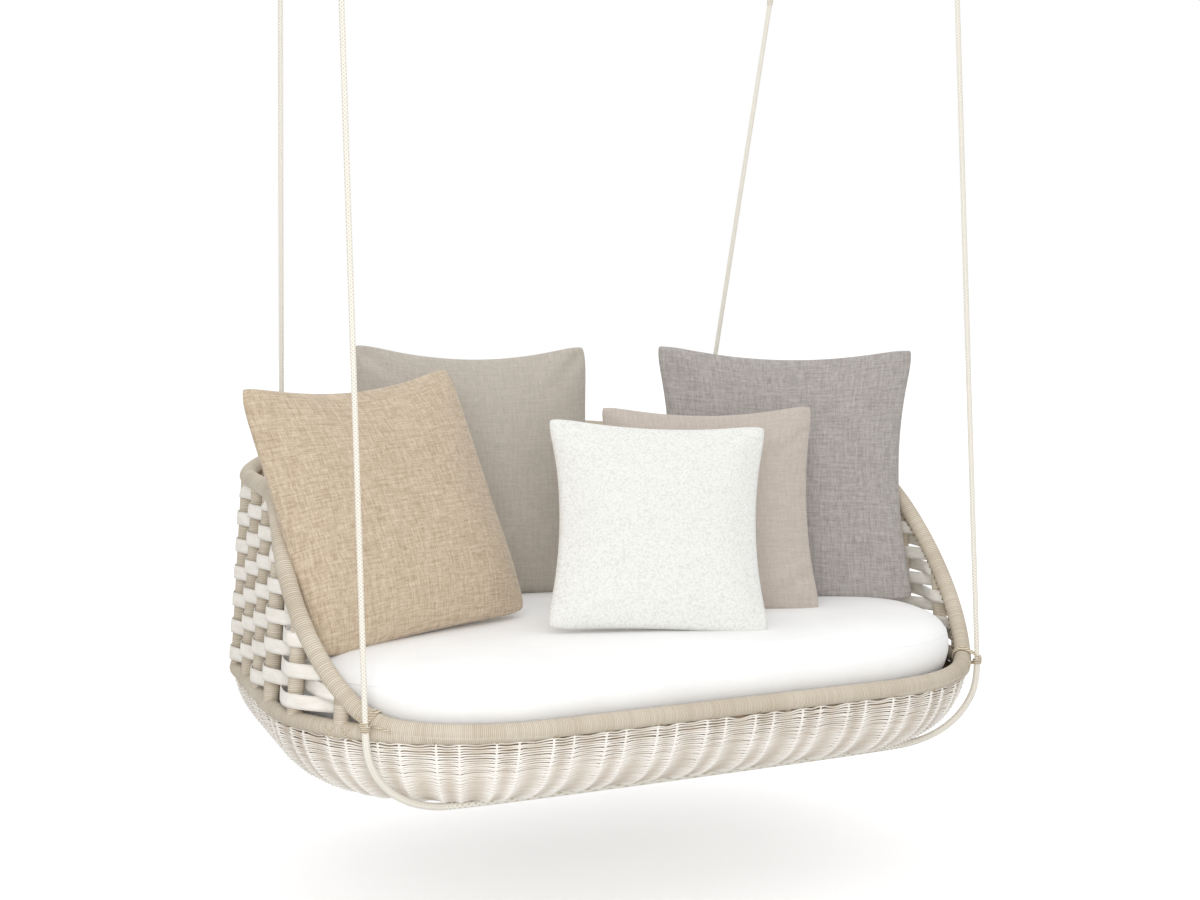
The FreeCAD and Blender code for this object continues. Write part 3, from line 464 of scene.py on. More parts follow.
def grain(material, space, scale, detail=2.0):
    """A noise value between 0 and 1 over the surface's stretched coordinates."""
    return node(material, "TexNoise", Vector=spread(material, space, scale), Scale=1.0,
                Detail=detail, Roughness=0.5).outputs["Fac"]


def blend(material, factor, dark, light):
    """A colour between two, by a value from 0 to 1."""
    mixed = node(material, "Mix", {"data_type": "RGBA"}, s0=factor)
    mixed.inputs[6].default_value = (*linear(dark), 1)
    mixed.inputs[7].default_value = (*linear(light), 1)
    return mixed.outputs[2]


def math_node(material, operation, first, second=0.0, third=0.0):
    """One step of arithmetic."""
    return node(material, "Math", {"operation": operation}, s0=first, s1=second,
                s2=third).outputs[0]


def added(material, base, part, share):
    """A value with a share of another added."""
    return math_node(material, "MULTIPLY_ADD", part, share, base)


def wave(material, value, turn):
    """A sine of a value times a turn."""
    return math_node(material, "SINE", math_node(material, "MULTIPLY", value, turn))


def map_axes(material):
    """The two values of the piece's own map."""
    where = node(material, "TexCoord").outputs["UV"]
    return node(material, "SeparateXYZ", Vector=where).outputs


def finish(material, value, span, colours, height, distance, strength):
    """Colour by a value over its span from dark to light, and a bump from a height."""
    tree = material.node_tree
    shader = tree.nodes["Principled BSDF"]
    level = node(material, "MapRange", {"interpolation_type": "SMOOTHSTEP"}, Value=value,
                 s1=span[0], s2=span[1]).outputs[0]
    tree.links.new(blend(material, level, *colours), shader.inputs["Base Color"])
    bump = node(material, "Bump", Height=height, Distance=distance, Strength=strength)
    tree.links.new(bump.outputs["Normal"], shader.inputs["Normal"])
    return material


def cane_material(name, colours):
    """Thin round cane: a tone read from each point, which on some pieces holds painted shade in
    grooves and bays and painted highlight on ridges besides a tone from strand to strand, and fine
    fibres.
    """
    material = new_material(name, 0.55, specular=0.35)
    tone = node(material, "Attribute", {"attribute_name": "tone"}).outputs["Fac"]
    fibre = grain(material, "Object", 420, 3.0)
    patch = grain(material, "Object", 9, 1.0)
    value = added(material, added(material, tone, fibre, 0.35), patch, 0.45)
    return finish(material, value, (0.25, 1.45), colours, fibre, 0.0006, 0.5)


def strap_material(name, colours):
    """Flat woven strap: a fine plain weave with worn patches."""
    material = new_material(name, 0.75, sheen=0.15, specular=0.25)
    axes = map_axes(material)
    turn = 2 * math.pi / STRAP_THREAD
    weave = math_node(material, "MULTIPLY", wave(material, axes["X"], turn),
                      wave(material, axes["Y"], turn))
    patch = grain(material, "UV", (22, 60, 1), 3.0)
    value = added(material, patch, weave, 0.16)
    return finish(material, value, (0.2, 0.75), colours, weave, 0.0003, 0.6)


def linen_material(name, colours):
    """Woven linen: threads both ways, thick and thin, in two tones."""
    material = new_material(name, 0.85, sheen=0.25, specular=0.2)
    fine = 1 / LINEN_THREAD
    threads = math_node(material, "ADD", grain(material, "UV", (fine * 0.11, fine, 1)),
                        grain(material, "UV", (fine, fine * 0.11, 1)))
    slubs = math_node(material, "ADD", grain(material, "UV", (14, 160, 1)),
                      grain(material, "UV", (160, 14, 1)))
    value = added(material, threads, slubs, 0.75)
    return finish(material, value, (1.2, 2.3), colours, threads, 0.0012, 0.55)


def boucle_material(name, colours):
    """Looped white cloth: small round loops over a soft ground."""
    material = new_material(name, 0.95, sheen=0.3, specular=0.15)
    where = spread(material, "UV", 1)
    bent = node(material, "TexNoise", Vector=where, Scale=240.0, Detail=1.0).outputs["Color"]
    moved = node(material, "VectorMath", {"operation": "MULTIPLY_ADD"}, s0=bent,
                 s1=(0.004, 0.004, 0.0), s2=where).outputs[0]
    loops = node(material, "TexVoronoi", {"feature": "SMOOTH_F1"}, Vector=moved,
                 Scale=230.0).outputs["Distance"]
    loops = math_node(material, "SUBTRACT", 1.0, loops)
    return finish(material, loops, (0.25, 0.75), colours, loops, 0.0022, 0.6)


def plain_cloth_material(name, colours):
    """Fine outdoor cloth in a plain weave, on a piece without a map."""
    material = new_material(name, 0.9, sheen=0.2, specular=0.2)
    weave = math_node(material, "ADD", grain(material, "Object", (700, 90, 700)),
                      grain(material, "Object", (90, 700, 700)))
    value = added(material, grain(material, "Object", 5), weave, 0.4)
    return finish(material, value, (0.6, 1.2), colours, weave, 0.0006, 0.4)


def rope_material(name, colours):
    """Braided rope: strands that cross both ways round it."""
    material = new_material(name, 0.75, sheen=0.2, specular=0.2)
    axes = map_axes(material)
    along = math_node(material, "MULTIPLY", axes["X"], 4 * math.pi / ROPE_LAY)
    round_it = math_node(material, "MULTIPLY", axes["Y"], 8 * math.pi)
    right = math_node(material, "SINE", math_node(material, "ADD", along, round_it))
    left = math_node(material, "SINE", math_node(material, "SUBTRACT", along, round_it))
    strands = math_node(material, "MAXIMUM", right, left)
    value = added(material, strands, grain(material, "UV", (300, 40, 1), 3.0), 0.9)
    return finish(material, value, (-0.6, 1.2), colours, strands, 0.0008, 0.4)


def fitting_rope_material(name, colours):
    """Served rope fittings without a map: fine cross turns and fibres."""
    material = new_material(name, 0.8, sheen=0.2, specular=0.2)
    turns = node(material, "TexWave", {"bands_direction": "Z"},
                 Vector=spread(material, "Object", 1), Scale=70.0, Distortion=1.5,
                 Detail=2.0).outputs["Fac"]
    value = added(material, turns, grain(material, "Object", 500, 3.0), 0.5)
    return finish(material, value, (0.1, 1.3), colours, turns, 0.0012, 0.6)


def steel_material(name, colours):
    """Satin steel with fine marks from brushing."""
    material = new_material(name, 0.32, metallic=1.0)
    marks = grain(material, "Object", (900, 40, 40), 3.0)
    value = added(material, grain(material, "Object", 60, 3.0), marks, 0.6)
    return finish(material, value, (0.4, 1.2), colours, marks, 0.0002, 0.3)


def coat_material(name, colours):
    """Powder coat: a fine orange peel and slight tone."""
    material = new_material(name, 0.6, specular=0.4)
    peel = grain(material, "Object", 650)
    return finish(material, grain(material, "Object", 12), (0.3, 0.7), colours, peel, 0.0004,
                  0.3)


def belt_material(name, colours):
    """Flat webbing: ribs across the belt."""
    material = new_material(name, 0.85, specular=0.2)
    ribs = node(material, "TexWave", {"bands_direction": "Y"},
                Vector=spread(material, "Object", 1), Scale=140.0).outputs["Fac"]
    value = added(material, grain(material, "Object", 160), ribs, 0.5)
    return finish(material, value, (0.3, 1.1), colours, ribs, 0.0006, 0.5)


# Of each finish: its maker, and its dark and light colour in screen values
MAKERS = {
    "wrapped_frame": (cane_material, (0.69, 0.635, 0.55), (0.88, 0.845, 0.785)),
    "woven_strap": (strap_material, (0.91, 0.885, 0.84), (0.965, 0.95, 0.92)),
    "wicker": (cane_material, (0.80, 0.745, 0.675), (0.99, 0.975, 0.95)),
    # The dark sheet inside the bowl: its brown is painted shade
    "wicker_inside": (cane_material, (0.50, 0.42, 0.32), (0.72, 0.64, 0.53)),
    "hidden_frame": (coat_material, (0.70, 0.66, 0.60), (0.76, 0.72, 0.66)),
    "deck_belt": (belt_material, (0.30, 0.28, 0.25), (0.42, 0.40, 0.37)),
    "rope": (rope_material, (0.80, 0.765, 0.69), (0.93, 0.915, 0.875)),
    "rope_fitting": (fitting_rope_material, (0.80, 0.765, 0.69), (0.93, 0.915, 0.875)),
    "tie_cord": (fitting_rope_material, (0.66, 0.58, 0.47), (0.90, 0.86, 0.78)),
    "lacing": (cane_material, (0.50, 0.42, 0.31), (0.74, 0.67, 0.56)),
    "seat_cloth": (plain_cloth_material, (0.955, 0.955, 0.955), (0.98, 0.98, 0.978)),
    "sand_cloth": (linen_material, (0.655, 0.575, 0.475), (0.835, 0.77, 0.68)),
    "taupe_cloth": (linen_material, (0.67, 0.64, 0.595), (0.75, 0.72, 0.68)),
    "grey_cloth": (linen_material, (0.56, 0.54, 0.525), (0.72, 0.695, 0.68)),
    "light_taupe_cloth": (linen_material, (0.7, 0.66, 0.62), (0.775, 0.735, 0.695)),
    "white_boucle": (boucle_material, (0.85, 0.85, 0.832), (0.905, 0.905, 0.89)),
    "fitting_steel": (steel_material, (0.52, 0.52, 0.52), (0.70, 0.70, 0.70)),
}
# The finishes made so far, by slot
MADE = {}


def finish_for(slot):
    """The material of a slot, made when it is first asked for."""
    if slot not in MADE:
        maker, dark, light = MAKERS[slot]
        chosen = tuple(getattr(bpy.context.scene.lounger_colours, slot, light))
        darker = [low * part / high for low, part, high in zip(dark, chosen, light)]
        MADE[slot] = maker(slot, (darker, chosen))
    return MADE[slot]


def show(name, mesh, finish_slot, replaced=(), body="lounger"):
    """A finished piece in the scene, riding on its body and taking its finish's slot."""
    mesh.shade_smooth()
    mesh.materials.clear()
    mesh.materials.append(finish_for(finish_slot))
    piece = bpy.data.objects.new(name, mesh)
    bpy.context.scene.collection.objects.link(piece)
    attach(piece, body)
    if replaced:
        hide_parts(*replaced)
    return piece


def paint_node(name, finish_slot):
    """Give a CAD node that stays the finish of the named slot."""
    cad = bpy.data.objects[name]
    if not cad.material_slots:
        cad.data.materials.append(None)
    for one in cad.material_slots:
        one.material = finish_for(finish_slot)


# Wound tubes and woven straps

def set_tones(mesh, values):
    """Give each point of a mesh the tone that its cane's finish reads."""
    mesh.attributes.new("tone", "FLOAT", "POINT").data.foreach_set("value", values)


def ring_tones(mesh, tones, sides):
    """Give each ring of points round a tube its tone."""
    values = np.zeros(len(mesh.vertices))
    rings = np.repeat(np.concatenate(tones), sides)
    values[:len(rings)] = rings[:len(values)]
    set_tones(mesh, values)


def slow_tones(mesh, low, high, seed):
    """Give a mesh a slow change of tone along its points."""
    wander = smooth_wander(len(mesh.vertices), seed, spacing=90)
    set_tones(mesh, (low + high) / 2 + (high - low) / 2 * wander)


def show_toned(name, lines, radius, finish_slot, tones, seed):
    """Show thin tubes whose tone slowly changes between two levels."""
    mesh = tubes(name, lines, radius, 1)
    slow_tones(mesh, *tones, seed)
    show(name, mesh, finish_slot)


def wind(name, lines_by_share, lengths, radius, pitch, turns, seed):
    """Show tubes wound with cane: a ring at each turn's crest and one in each groove."""
    lines = []
    radii = []
    tones = []
    chooser = np.random.default_rng(seed)
    for by_share, length in zip(lines_by_share, lengths):
        count = 2 * max(2, int(length / pitch)) + 1
        lines.append(by_share(np.linspace(0, 1, count)))
        crest = np.arange(count) % 2 == 1
        strand = chooser.uniform(0.0, 1.0, count)
        radii.append(np.where(crest, 1.0 + 0.008 * strand, 1.0 - CANE_GROOVE / radius))
        # The grooves take the lowest tone, shade painted between the turns; each crest's tone
        # differs at random from turn to turn.
        tones.append(np.where(crest, 0.55 + 0.35 * strand, 0.0))
    mesh = tubes(name + "_cane", lines, radius, turns, radii)
    ring_tones(mesh, tones, 2 * turns + 4)
    show(name + "_cane", mesh, "wrapped_frame", [name])


def post_ways(first, last):
    """Ways of the posts between two places in their row."""
    return [FIRST_POST + index * POST_STEP for index in range(first, last + 1)]


def panel_posts():
    """First and last post of each wall panel, right side first."""
    ways = np.array(post_ways(0, POST_GAPS))
    first = int(np.argmin(abs(ways - SIDE_END)))
    second = int(np.argmin(abs(ways - BACK_START)))
    last = POST_GAPS
    return [("right_side", 0, first), ("right_corner", first, second),
            ("back", second, last - second), ("left_corner", last - second, last - first),
            ("left_side", last - first, last)]


def strap_offset(way, row):
    """How far a strap stands out of the wall, over one post and under the next."""
    share = (way - FIRST_POST) / POST_STEP
    swing = np.cos(math.pi * share) * (-1 if row % 2 == 0 else 1)
    return STRAP_SWING * np.arcsin(0.96 * swing) / math.asin(0.96)


def strap_spans(row, low, high):
    """Where a row runs in a panel: the top rows leave room for the back ropes' eyes."""
    cuts = [(low, high)]
    if row >= STRAP_ROWS - SPLIT_ROWS:
        for tie in (BACK_TIE_WAY, LOOP - BACK_TIE_WAY):
            cuts = [part for first, last in cuts
                    for part in (((first, tie - EYE_ROOM), (tie + EYE_ROOM, last))
                                 if first < tie < last else ((first, last),))]
    return cuts


def strap_row(name, row, low_way, high_way):
    """One strap of a panel as a thin grid, its ends following the rim."""
    span = high_way - low_way
    mesh, along, up = unit_grid(name, max(6, int(span / 0.007)), 4)
    height = STRAP_FIRST + row * STRAP_PITCH + up * STRAP_WIDTH
    start = rim_way(height)
    near = np.maximum(low_way, start)
    far = np.minimum(high_way, LOOP - start)
    way = near + (far - near) * along
    signed = around(way)
    headroom = rim_height(signed) - height
    # The strap swings less where it is pulled in to the rim
    offset = strap_offset(way, row) * (0.55 + 0.45 * eased(headroom / 0.07))
    crown = 0.0008 * (1 - (2 * up - 1) ** 2) * np.sign(offset)
    place(mesh, wall(signed, height, offset + crown)[0])
    lay_uv(mesh, way, height)
    return mesh


# The bowl's surface

def bowl_point(way, angle, out):
    """Points outside the bowl's rounded side at an angle below the level, in the row frame."""
    way = np.atleast_1d(np.asarray(way, float))
    reach = BOWL_DEPTH + out
    offset = BOWL_OVERHANG - BOWL_DEPTH + reach * np.cos(angle)
    centre, normal = plan(way)
    point = centre + normal * np.broadcast_to(offset, way.shape)[:, None]
    height = np.broadcast_to(-reach * np.sin(angle), way.shape)
    return np.column_stack((point, height)) + SEAT_AT


def stake_count():
    """How many stakes stand round the bowl, an even number."""
    return 2 * round(HALF_LOOP / STAKE_PITCH)


def stake_way(place):
    """The way of a place that is counted in stakes, which stand in pairs."""
    low = np.floor(place)
    pairing = STAKE_PAIRING * np.where(low % 2 == 0, 1, -1)
    near = low + pairing
    far = low + 1 - pairing
    return ((near + (far - near) * (place - low)) / stake_count() * 2 - 1) * HALF_LOOP


def strand_angles():
    """Angles of the woven strands, further apart under the rim."""
    angles = []
    run = BOWL_DEPTH * STRANDS_FROM
    index = 0
    while run < BOWL_DEPTH * STRANDS_TO:
        angles.append(run / BOWL_DEPTH)
        run += STRAND_STEP + STRAND_MORE * math.exp(-index / 6)
        index += 1
    return angles


def strand_line(index, angle, stakes):
    """One closed strand: out over a stake, in behind the next, and sunk between them."""
    place_in = np.arange(stakes * 8) / 8
    near = np.abs(place_in - np.round(place_in)) * 2
    stake = np.round(place_in).astype(int)
    bay = np.floor(place_in).astype(int)
    width = 1 - 2 * STAKE_PAIRING * np.where(bay % 2 == 0, 1, -1)
    slack = width * np.random.default_rng(7).uniform(0.6, 1.3, stakes)[bay]
    # Under the bowl the strands lie flatter than on its side
    under = np.clip((math.degrees(angle) - 58) / 30, 0, 1)
    sink = STRAND_SINK * (1 - 0.45 * under) * width * np.sin(math.pi / 2 * near) ** 0.62
    weave = np.where((stake + index) % 2 == 0, 1, -1) * STRAND_WEAVE * (1 - near) ** 2
    sag = STRAND_SAG * slack * math.exp(-index / 3.5) * np.sin(math.pi / 2 * near) ** 2
    loose = 0.0005 + 0.0009 * math.exp(-index / 6)
    wander = loose * smooth_wander(len(place_in), 100 + index, spacing=7)
    line = bowl_point(stake_way(place_in), angle + (sag + wander) / BOWL_DEPTH,
                      -0.0018 + 0.0028 * under - sink + weave)
    # Painted highlight on the ridge over each stake and painted shade in the bays between them,
    # plus a tone that differs at random from strand to strand.
    tone = 0.20 + 0.62 * (1 - near) ** 1.6 + 0.22 * np.random.default_rng(index).uniform()
    return line, tone


# Cord helpers

def rim_frames(ways):
    """The rim's centre line at ways, with its outward, upward and onward directions."""
    step = 0.002
    centre = rim_line(ways)
    ahead = rim_line(ways + step) - rim_line(ways - step)
    ahead /= np.linalg.norm(ahead, axis=1)[:, None]
    _, normal = plan(around(ways))
    outward = np.column_stack((normal, 0 * ways))
    upward = np.cross(outward, ahead)
    upward *= np.sign(upward[:, 2])[:, None]
    upward /= np.linalg.norm(upward, axis=1)[:, None]
    return centre, outward, upward, ahead


def front_tie(side):
    """Where a front rope meets the basket, just outside the rim."""
    point, _ = plan(side * FRONT_TIE_WAY, FRONT_TIE_OUT)
    return Vector((*point[0], FRONT_TIE_HEIGHT)) + Vector(SEAT_AT)


def back_tie(side):
    """The rim's middle where a back rope's eye goes round it."""
    return Vector(rim_line(np.array([BACK_TIE_WAY]))[0]) * Vector((side, 1, 1))


def laid_at(centre, radius, angle, outward, upward):
    """Points beside a tube's centre line, at angles from outward to upward."""
    return centre + radius * (np.cos(angle)[:, None] * outward
                              + np.sin(angle)[:, None] * upward)


def stitch(way, radius, low, high, lean, on_rail=False):
    """A short cord laid over the rim or the rail, between two angles, leaning along it."""
    steps = 7
    shares = np.linspace(0, 1, steps)
    ways = np.full(steps, way) + (shares - 0.5) * lean
    if on_rail:
        centre, normal = wall(around(ways), rail_height(ways))
        outward = np.column_stack((normal, 0 * ways))
        upward = np.tile((0.0, 0.0, 1.0), (steps, 1))
    else:
        centre, outward, upward, _ = rim_frames(ways)
    return laid_at(centre, radius, np.radians(low + (high - low) * shares), outward, upward)


def lashing(side, turns, lay):
    """Turns of cord round the rim and the rope beside it, each against the last."""
    frames = rim_frames(np.array([side * FRONT_TIE_WAY]))
    centre, outward, upward, ahead = (part[0] for part in frames)
    reach = np.array(front_tie(side)) - centre
    rope_at = np.array((reach @ outward, reach @ upward))
    count = 26 * turns
    angle = np.linspace(0, 2 * math.pi * turns, count)
    ways = np.column_stack((np.cos(angle), np.sin(angle)))
    rim_reach = RIM_RADIUS + lay
    rope_reach = SLING_RADIUS + lay
    on_rope = ways @ rope_at + rope_reach > rim_reach
    flat = np.where(on_rope[:, None], rope_at + rope_reach * ways, rim_reach * ways)
    slide = (angle / (2 * math.pi) - turns / 2) * lay * 2.1
    return centre + flat[:, :1] * outward + flat[:, 1:] * upward + slide[:, None] * ahead


def whipping(side, turns, lay, low, pitch):
    """Turns of cord round the rope itself, from a height above or below the tie."""
    angle = np.linspace(0, 2 * math.pi * turns, 14 * turns)
    reach = SLING_RADIUS + lay
    return np.array(front_tie(side)) + np.column_stack((
        reach * np.cos(angle), reach * np.sin(angle), low + pitch * angle / (2 * math.pi)))


def cross_stitches(side):
    """Thin cord sewn over the rail and the rim on both sides of a front rope."""
    on_rim = CANE_RADIUS + 0.001
    lines = [stitch(side * (FRONT_TIE_WAY + away), RAIL_RADIUS + 0.0008, -72, 25, side * lean,
                    on_rail=True)
             for away, lean in ((0.105, 0.026), (0.105, -0.026), (0.062, 0.022), (0.062, -0.022))]
    lines.append(stitch(side * (FRONT_TIE_WAY - 0.048), on_rim, -58, 20, side * 0.004))
    ways = side * (FRONT_TIE_WAY + np.linspace(-0.052, 0.030, 9))
    centre, outward, upward, _ = rim_frames(ways)
    lift = np.radians(-12.0 + 5.0 * np.sin(np.linspace(0, 6, 9)))
    lines.append(laid_at(centre, on_rim, lift, outward, upward))
    return lines


def rope(name, points, radius, body, far_end, with_pieces=()):
    """A taut rope in a CAD rope's place, along its route, its map stretched to its real length."""
    bare = tubes("route", [points], kind="NURBS")
    line = coordinates(bare)
    bpy.data.meshes.remove(bare)
    length = float(np.linalg.norm(np.diff(line, axis=0), axis=1).sum())
    mesh = tubes(name + "_braid", [points], radius, 6, kind="NURBS")
    layer = mesh.uv_layers[0]
    values = np.empty(len(mesh.loops) * 2)
    layer.uv.foreach_get("vector", values)
    values[::2] *= length
    layer.uv.foreach_set("vector", values)
    piece = show(name + "_braid", mesh, "rope", [name], body)


def rope_top(side, hook, tie):
    """Where the bare rope begins, under its served eye at the ceiling."""
    hook = Vector((side * hook.x, hook.y, hook.z))
    pull = tie - hook
    swing = math.atan2(pull.y, -pull.z)
    down = Vector((0, math.sin(swing), -math.cos(swing)))
    return hook + down * (THIMBLE_SINK + UPPER_SPLICE_END)


# Cushion helpers

def crease_depth(x, y, crease):
    """How deep a crease is at points of a cushion: a soft valley with a swell on one side."""
    start, end = np.array(crease[:2]), np.array(crease[2:4])
    line = end - start
    share = np.clip(((x - start[0]) * line[0] + (y - start[1]) * line[1]) / (line @ line), 0, 1)
    away = np.hypot(x - start[0] - share * line[0], y - start[1] - share * line[1])
    side = np.sign((x - start[0]) * line[1] - (y - start[1]) * line[0])
    valley = np.exp(-(away / CREASE_WIDTH) ** 2)
    swelling, distance, width = CREASE_SWELL
    beside = swelling * np.exp(-((away - distance) / width) ** 2) * (side > 0)
    return crease[4] * (valley - beside) * (1 - 0.75 * share)


def corner_folds(x, y, half, rng):
    """Small folds that fan out of each corner of a cushion."""
    folds = 0 * x
    for corner_x in (-1, 1):
        for corner_y in (-1, 1):
            away_x, away_y = 1 - x * corner_x, 1 - y * corner_y
            away = np.hypot(away_x, away_y) * half
            phase, count = rng.uniform(0, 6.28), rng.uniform(5.0, 8.0)
            fan = np.cos(count * np.arctan2(away_y, away_x) + phase)
            folds += fan * np.exp(-(away / 0.12) ** 2) * np.clip(away / 0.05, 0, 1)
    return folds


def pillow_mesh(name, seed):
    """A square cushion of two sheets: swollen middle, drawn-in sides, rounded ears."""
    _, (size, thickness), _, (stretch_x, stretch_y), (top, beside, foot), _ = PILLOWS[name]
    half = size / 2
    rng = np.random.default_rng(seed)
    faces = []
    for sign in (-1, 1):
        mesh, across, up = unit_grid(name, 46, 46)
        x, y = across * 2 - 1, up * 2 - 1
        ear = 1 - EAR_ROUNDING * np.abs(x * y) ** 8
        plan_x = half * stretch_x * x * ear * (1 - beside * (1 - y ** 2))
        pull = np.where(y > 0, top * y, foot * y) * (1 - x ** 2)
        plan_y = half * stretch_y * (y * ear - pull)
        low = y + BELLY_DROP * (1 - y ** 2)
        crown = (1 - np.abs(x) ** CROWN_POWER) * (1 - np.abs(low) ** CROWN_POWER)
        folds = corner_folds(x, y, half, rng)
        offset = Vector(rng.uniform(0, 50, 3))
        lumps = np.array([noise.noise(Vector((a * 7, b * 7, sign)) + offset)
                          for a, b in zip(plan_x, plan_y)])
        edge = np.minimum(1 - np.abs(x), 1 - np.abs(y)) * half
        inner = np.clip(edge / 0.02, 0, 1)
        fold = sum(crease_depth(x, y, crease) for crease in CREASES[name]) * (sign < 0)
        depth = (thickness / 2 - PILLOW_SWELL) * crown ** CROWN_FULLNESS
        depth += (FOLD_HEIGHT * folds + LUMP_HEIGHT * lumps - fold) * inner
        place(mesh, np.column_stack((plan_x, sign * depth, plan_y)))
        # Each sheet takes its own stretch of cloth
        lay_uv(mesh, half * x + seed * 0.37, half * y + sign * 0.5)
        faces.append(mesh)
    return join(name, faces, weld=0.00002)


def swell(pieces, cap):
    """Let cushions fill under a little pressure, each point by no more than the cap."""
    before = {}
    for piece in pieces:
        before[piece.name] = coordinates(piece.data)
        cloth = piece.modifiers.new("Cloth", "CLOTH")
        cloth.settings.quality = 4
        cloth.settings.use_pressure = True
        cloth.settings.uniform_pressure_force = 4.0
        cloth.settings.effector_weights.gravity = 0.0
        cloth.point_cache.frame_end = FILL_FRAMES
    scene = bpy.context.scene
    for moment in range(1, FILL_FRAMES + 1):
        scene.frame_set(moment)
    graph = bpy.context.evaluated_depsgraph_get()
    for piece in pieces:
        after = coordinates(piece.evaluated_get(graph).data)
        move = after - before[piece.name]
        length = np.maximum(np.linalg.norm(move, axis=1), 1e-9)
        limited = before[piece.name] + move * np.minimum(1, cap / length)[:, None]
        piece.modifiers.clear()
        place(piece.data, limited)
    scene.frame_set(1)


def subdivide(piece):
    """One level of smooth subdivision, made part of the mesh."""
    smoother = piece.modifiers.new("Subdivision", "SUBSURF")
    smoother.levels = smoother.render_levels = 1
    apply_modifiers(piece)


def seat_mesh(name):
    """The seat cushion's form: rounded lower edge, upright border, crowned top."""
    mesh, share, level = unit_grid(name, 180, 60)
    way = (share * 2 - 1) * HALF_LOOP
    stops, insets, heights = SEAT_SECTION.T
    further = SEAT_BY_WALL * np.clip((np.abs(way) - 0.80) / 0.15, 0, 1)
    inset = np.interp(level, stops, insets) + further
    height = np.interp(level, stops, heights)
    ring, _ = plan(way, -np.minimum(inset, SEAT_EDGE))
    middle = np.array((0.0, DEPTH / 2))
    close = np.clip((inset - SEAT_EDGE) / (1 - SEAT_EDGE + further), 0, 1)[:, None]
    point = ring + (middle - ring) * close
    place(mesh, np.column_stack((point, height)) + SEAT_AT)
    return join(name, [mesh], weld=0.00005)


# Properties

def length_property(name, description, default):
    """A length that a user may change."""
    return bpy.props.FloatProperty(name=name, description=description, default=default,
                                   min=0.0005, soft_max=0.05, unit="LENGTH")


def colour_property(name, description, slot):
    """A colour that a user may change, in screen values."""
    return bpy.props.FloatVectorProperty(name=name, description=description, size=3,
                                         default=MAKERS[slot][2], min=0.0, max=1.0,
                                         subtype="COLOR_GAMMA")


class LoungerSizes(bpy.types.PropertyGroup):
    """Sizes of the fine work."""

    cane_pitch: length_property("Cane pitch", "Distance between turns of cane", 0.0042)
    strand_radius: length_property("Strand radius", "Radius of a wicker strand", 0.0023)
    stake_radius: length_property("Stake radius", "Radius of a wicker stake", 0.0030)
    lacing_pitch: length_property("Lacing pitch", "Distance between stitches", 0.013)
    cushion_swell: length_property("Cushion swell", "Most that cloth moves as it fills", 0.010)


class LoungerColours(bpy.types.PropertyGroup):
    """Lighter colour of each finish."""

    wrapped_frame: colour_property("Frame", "Cane wound on the frame", "wrapped_frame")
    woven_strap: colour_property("Straps", "Flat woven straps", "woven_strap")
    wicker: colour_property("Wicker", "Strands of the bowl", "wicker")
    rope: colour_property("Rope", "The four ropes and the sling", "rope")
    seat_cloth: colour_property("Seat", "Cloth of the seat cushion", "seat_cloth")
    sand_cloth: colour_property("Sand", "Cloth of the sand cushion", "sand_cloth")
    taupe_cloth: colour_property("Taupe", "Cloth of the taupe cushion", "taupe_cloth")
    grey_cloth: colour_property("Grey", "Cloth of the grey cushion", "grey_cloth")
    white_boucle: colour_property("White", "Looped cloth of the white cushion", "white_boucle")


class LoungerLight(bpy.types.PropertyGroup):
    """Levels of the studio light."""

    sky: bpy.props.FloatProperty(name="Room light", description="Even light from all round",
                                 default=0.82, min=0.0, soft_max=2.0)
    key: bpy.props.FloatProperty(name="Key light", description="Soft lamp in front at the left",
                                 default=110.0, min=0.0, unit="POWER")
    top: bpy.props.FloatProperty(name="Top light", description="Soft lamp overhead",
                                 default=22.0, min=0.0, unit="POWER")


# Operators

class LOUNGER_OT_frame(bpy.types.Operator):
    """Winds cane round the rim, the base rail and the posts"""

    bl_idname = "lounger.frame"
    bl_label = "Wound frame"

    def execute(self, context):
        pitch = context.scene.lounger_sizes.cane_pitch
        spans = {"rim_front": (-FRONT_TIE_WAY, FRONT_TIE_WAY),
                 "rim_right": (FRONT_TIE_WAY, BACK_CUT_WAY),
                 "rim_back": (BACK_CUT_WAY, LOOP - BACK_CUT_WAY),
                 "rim_left": (LOOP - BACK_CUT_WAY, LOOP - FRONT_TIE_WAY)}
        for seed, (name, (first, last)) in enumerate(spans.items()):
            wind(name, [lambda share, a=first, b=last: rim_line(a + (b - a) * share)],
                 [last - first], CANE_RADIUS, pitch, 6, seed)
        length = LOOP - 2 * RAIL_START

        def rail_line(share):
            ways = around(RAIL_START + length * share)
            return wall(ways, rail_height(ways))[0]
        wind("base_rail", [rail_line], [length], RAIL_RADIUS, pitch, 5, 8)
        for seed, (panel, low, high) in enumerate(panel_posts()):
            if panel.endswith("corner"):
                low, high = low + 1, high - 1
            lines = []
            lengths = []
            for way in post_ways(low, high):
                foot = wall(around(way), RAIL_HEIGHT)[0][0]
                head = rim_line(np.array([way]))[0]
                lines.append(lambda share, a=foot, b=head: a + (b - a) * share[:, None])
                lengths.append(float(np.linalg.norm(head - foot)))
            wind(panel + "_posts", lines, lengths, POST_RADIUS, pitch, 5, 20 + seed)
        return {"FINISHED"}


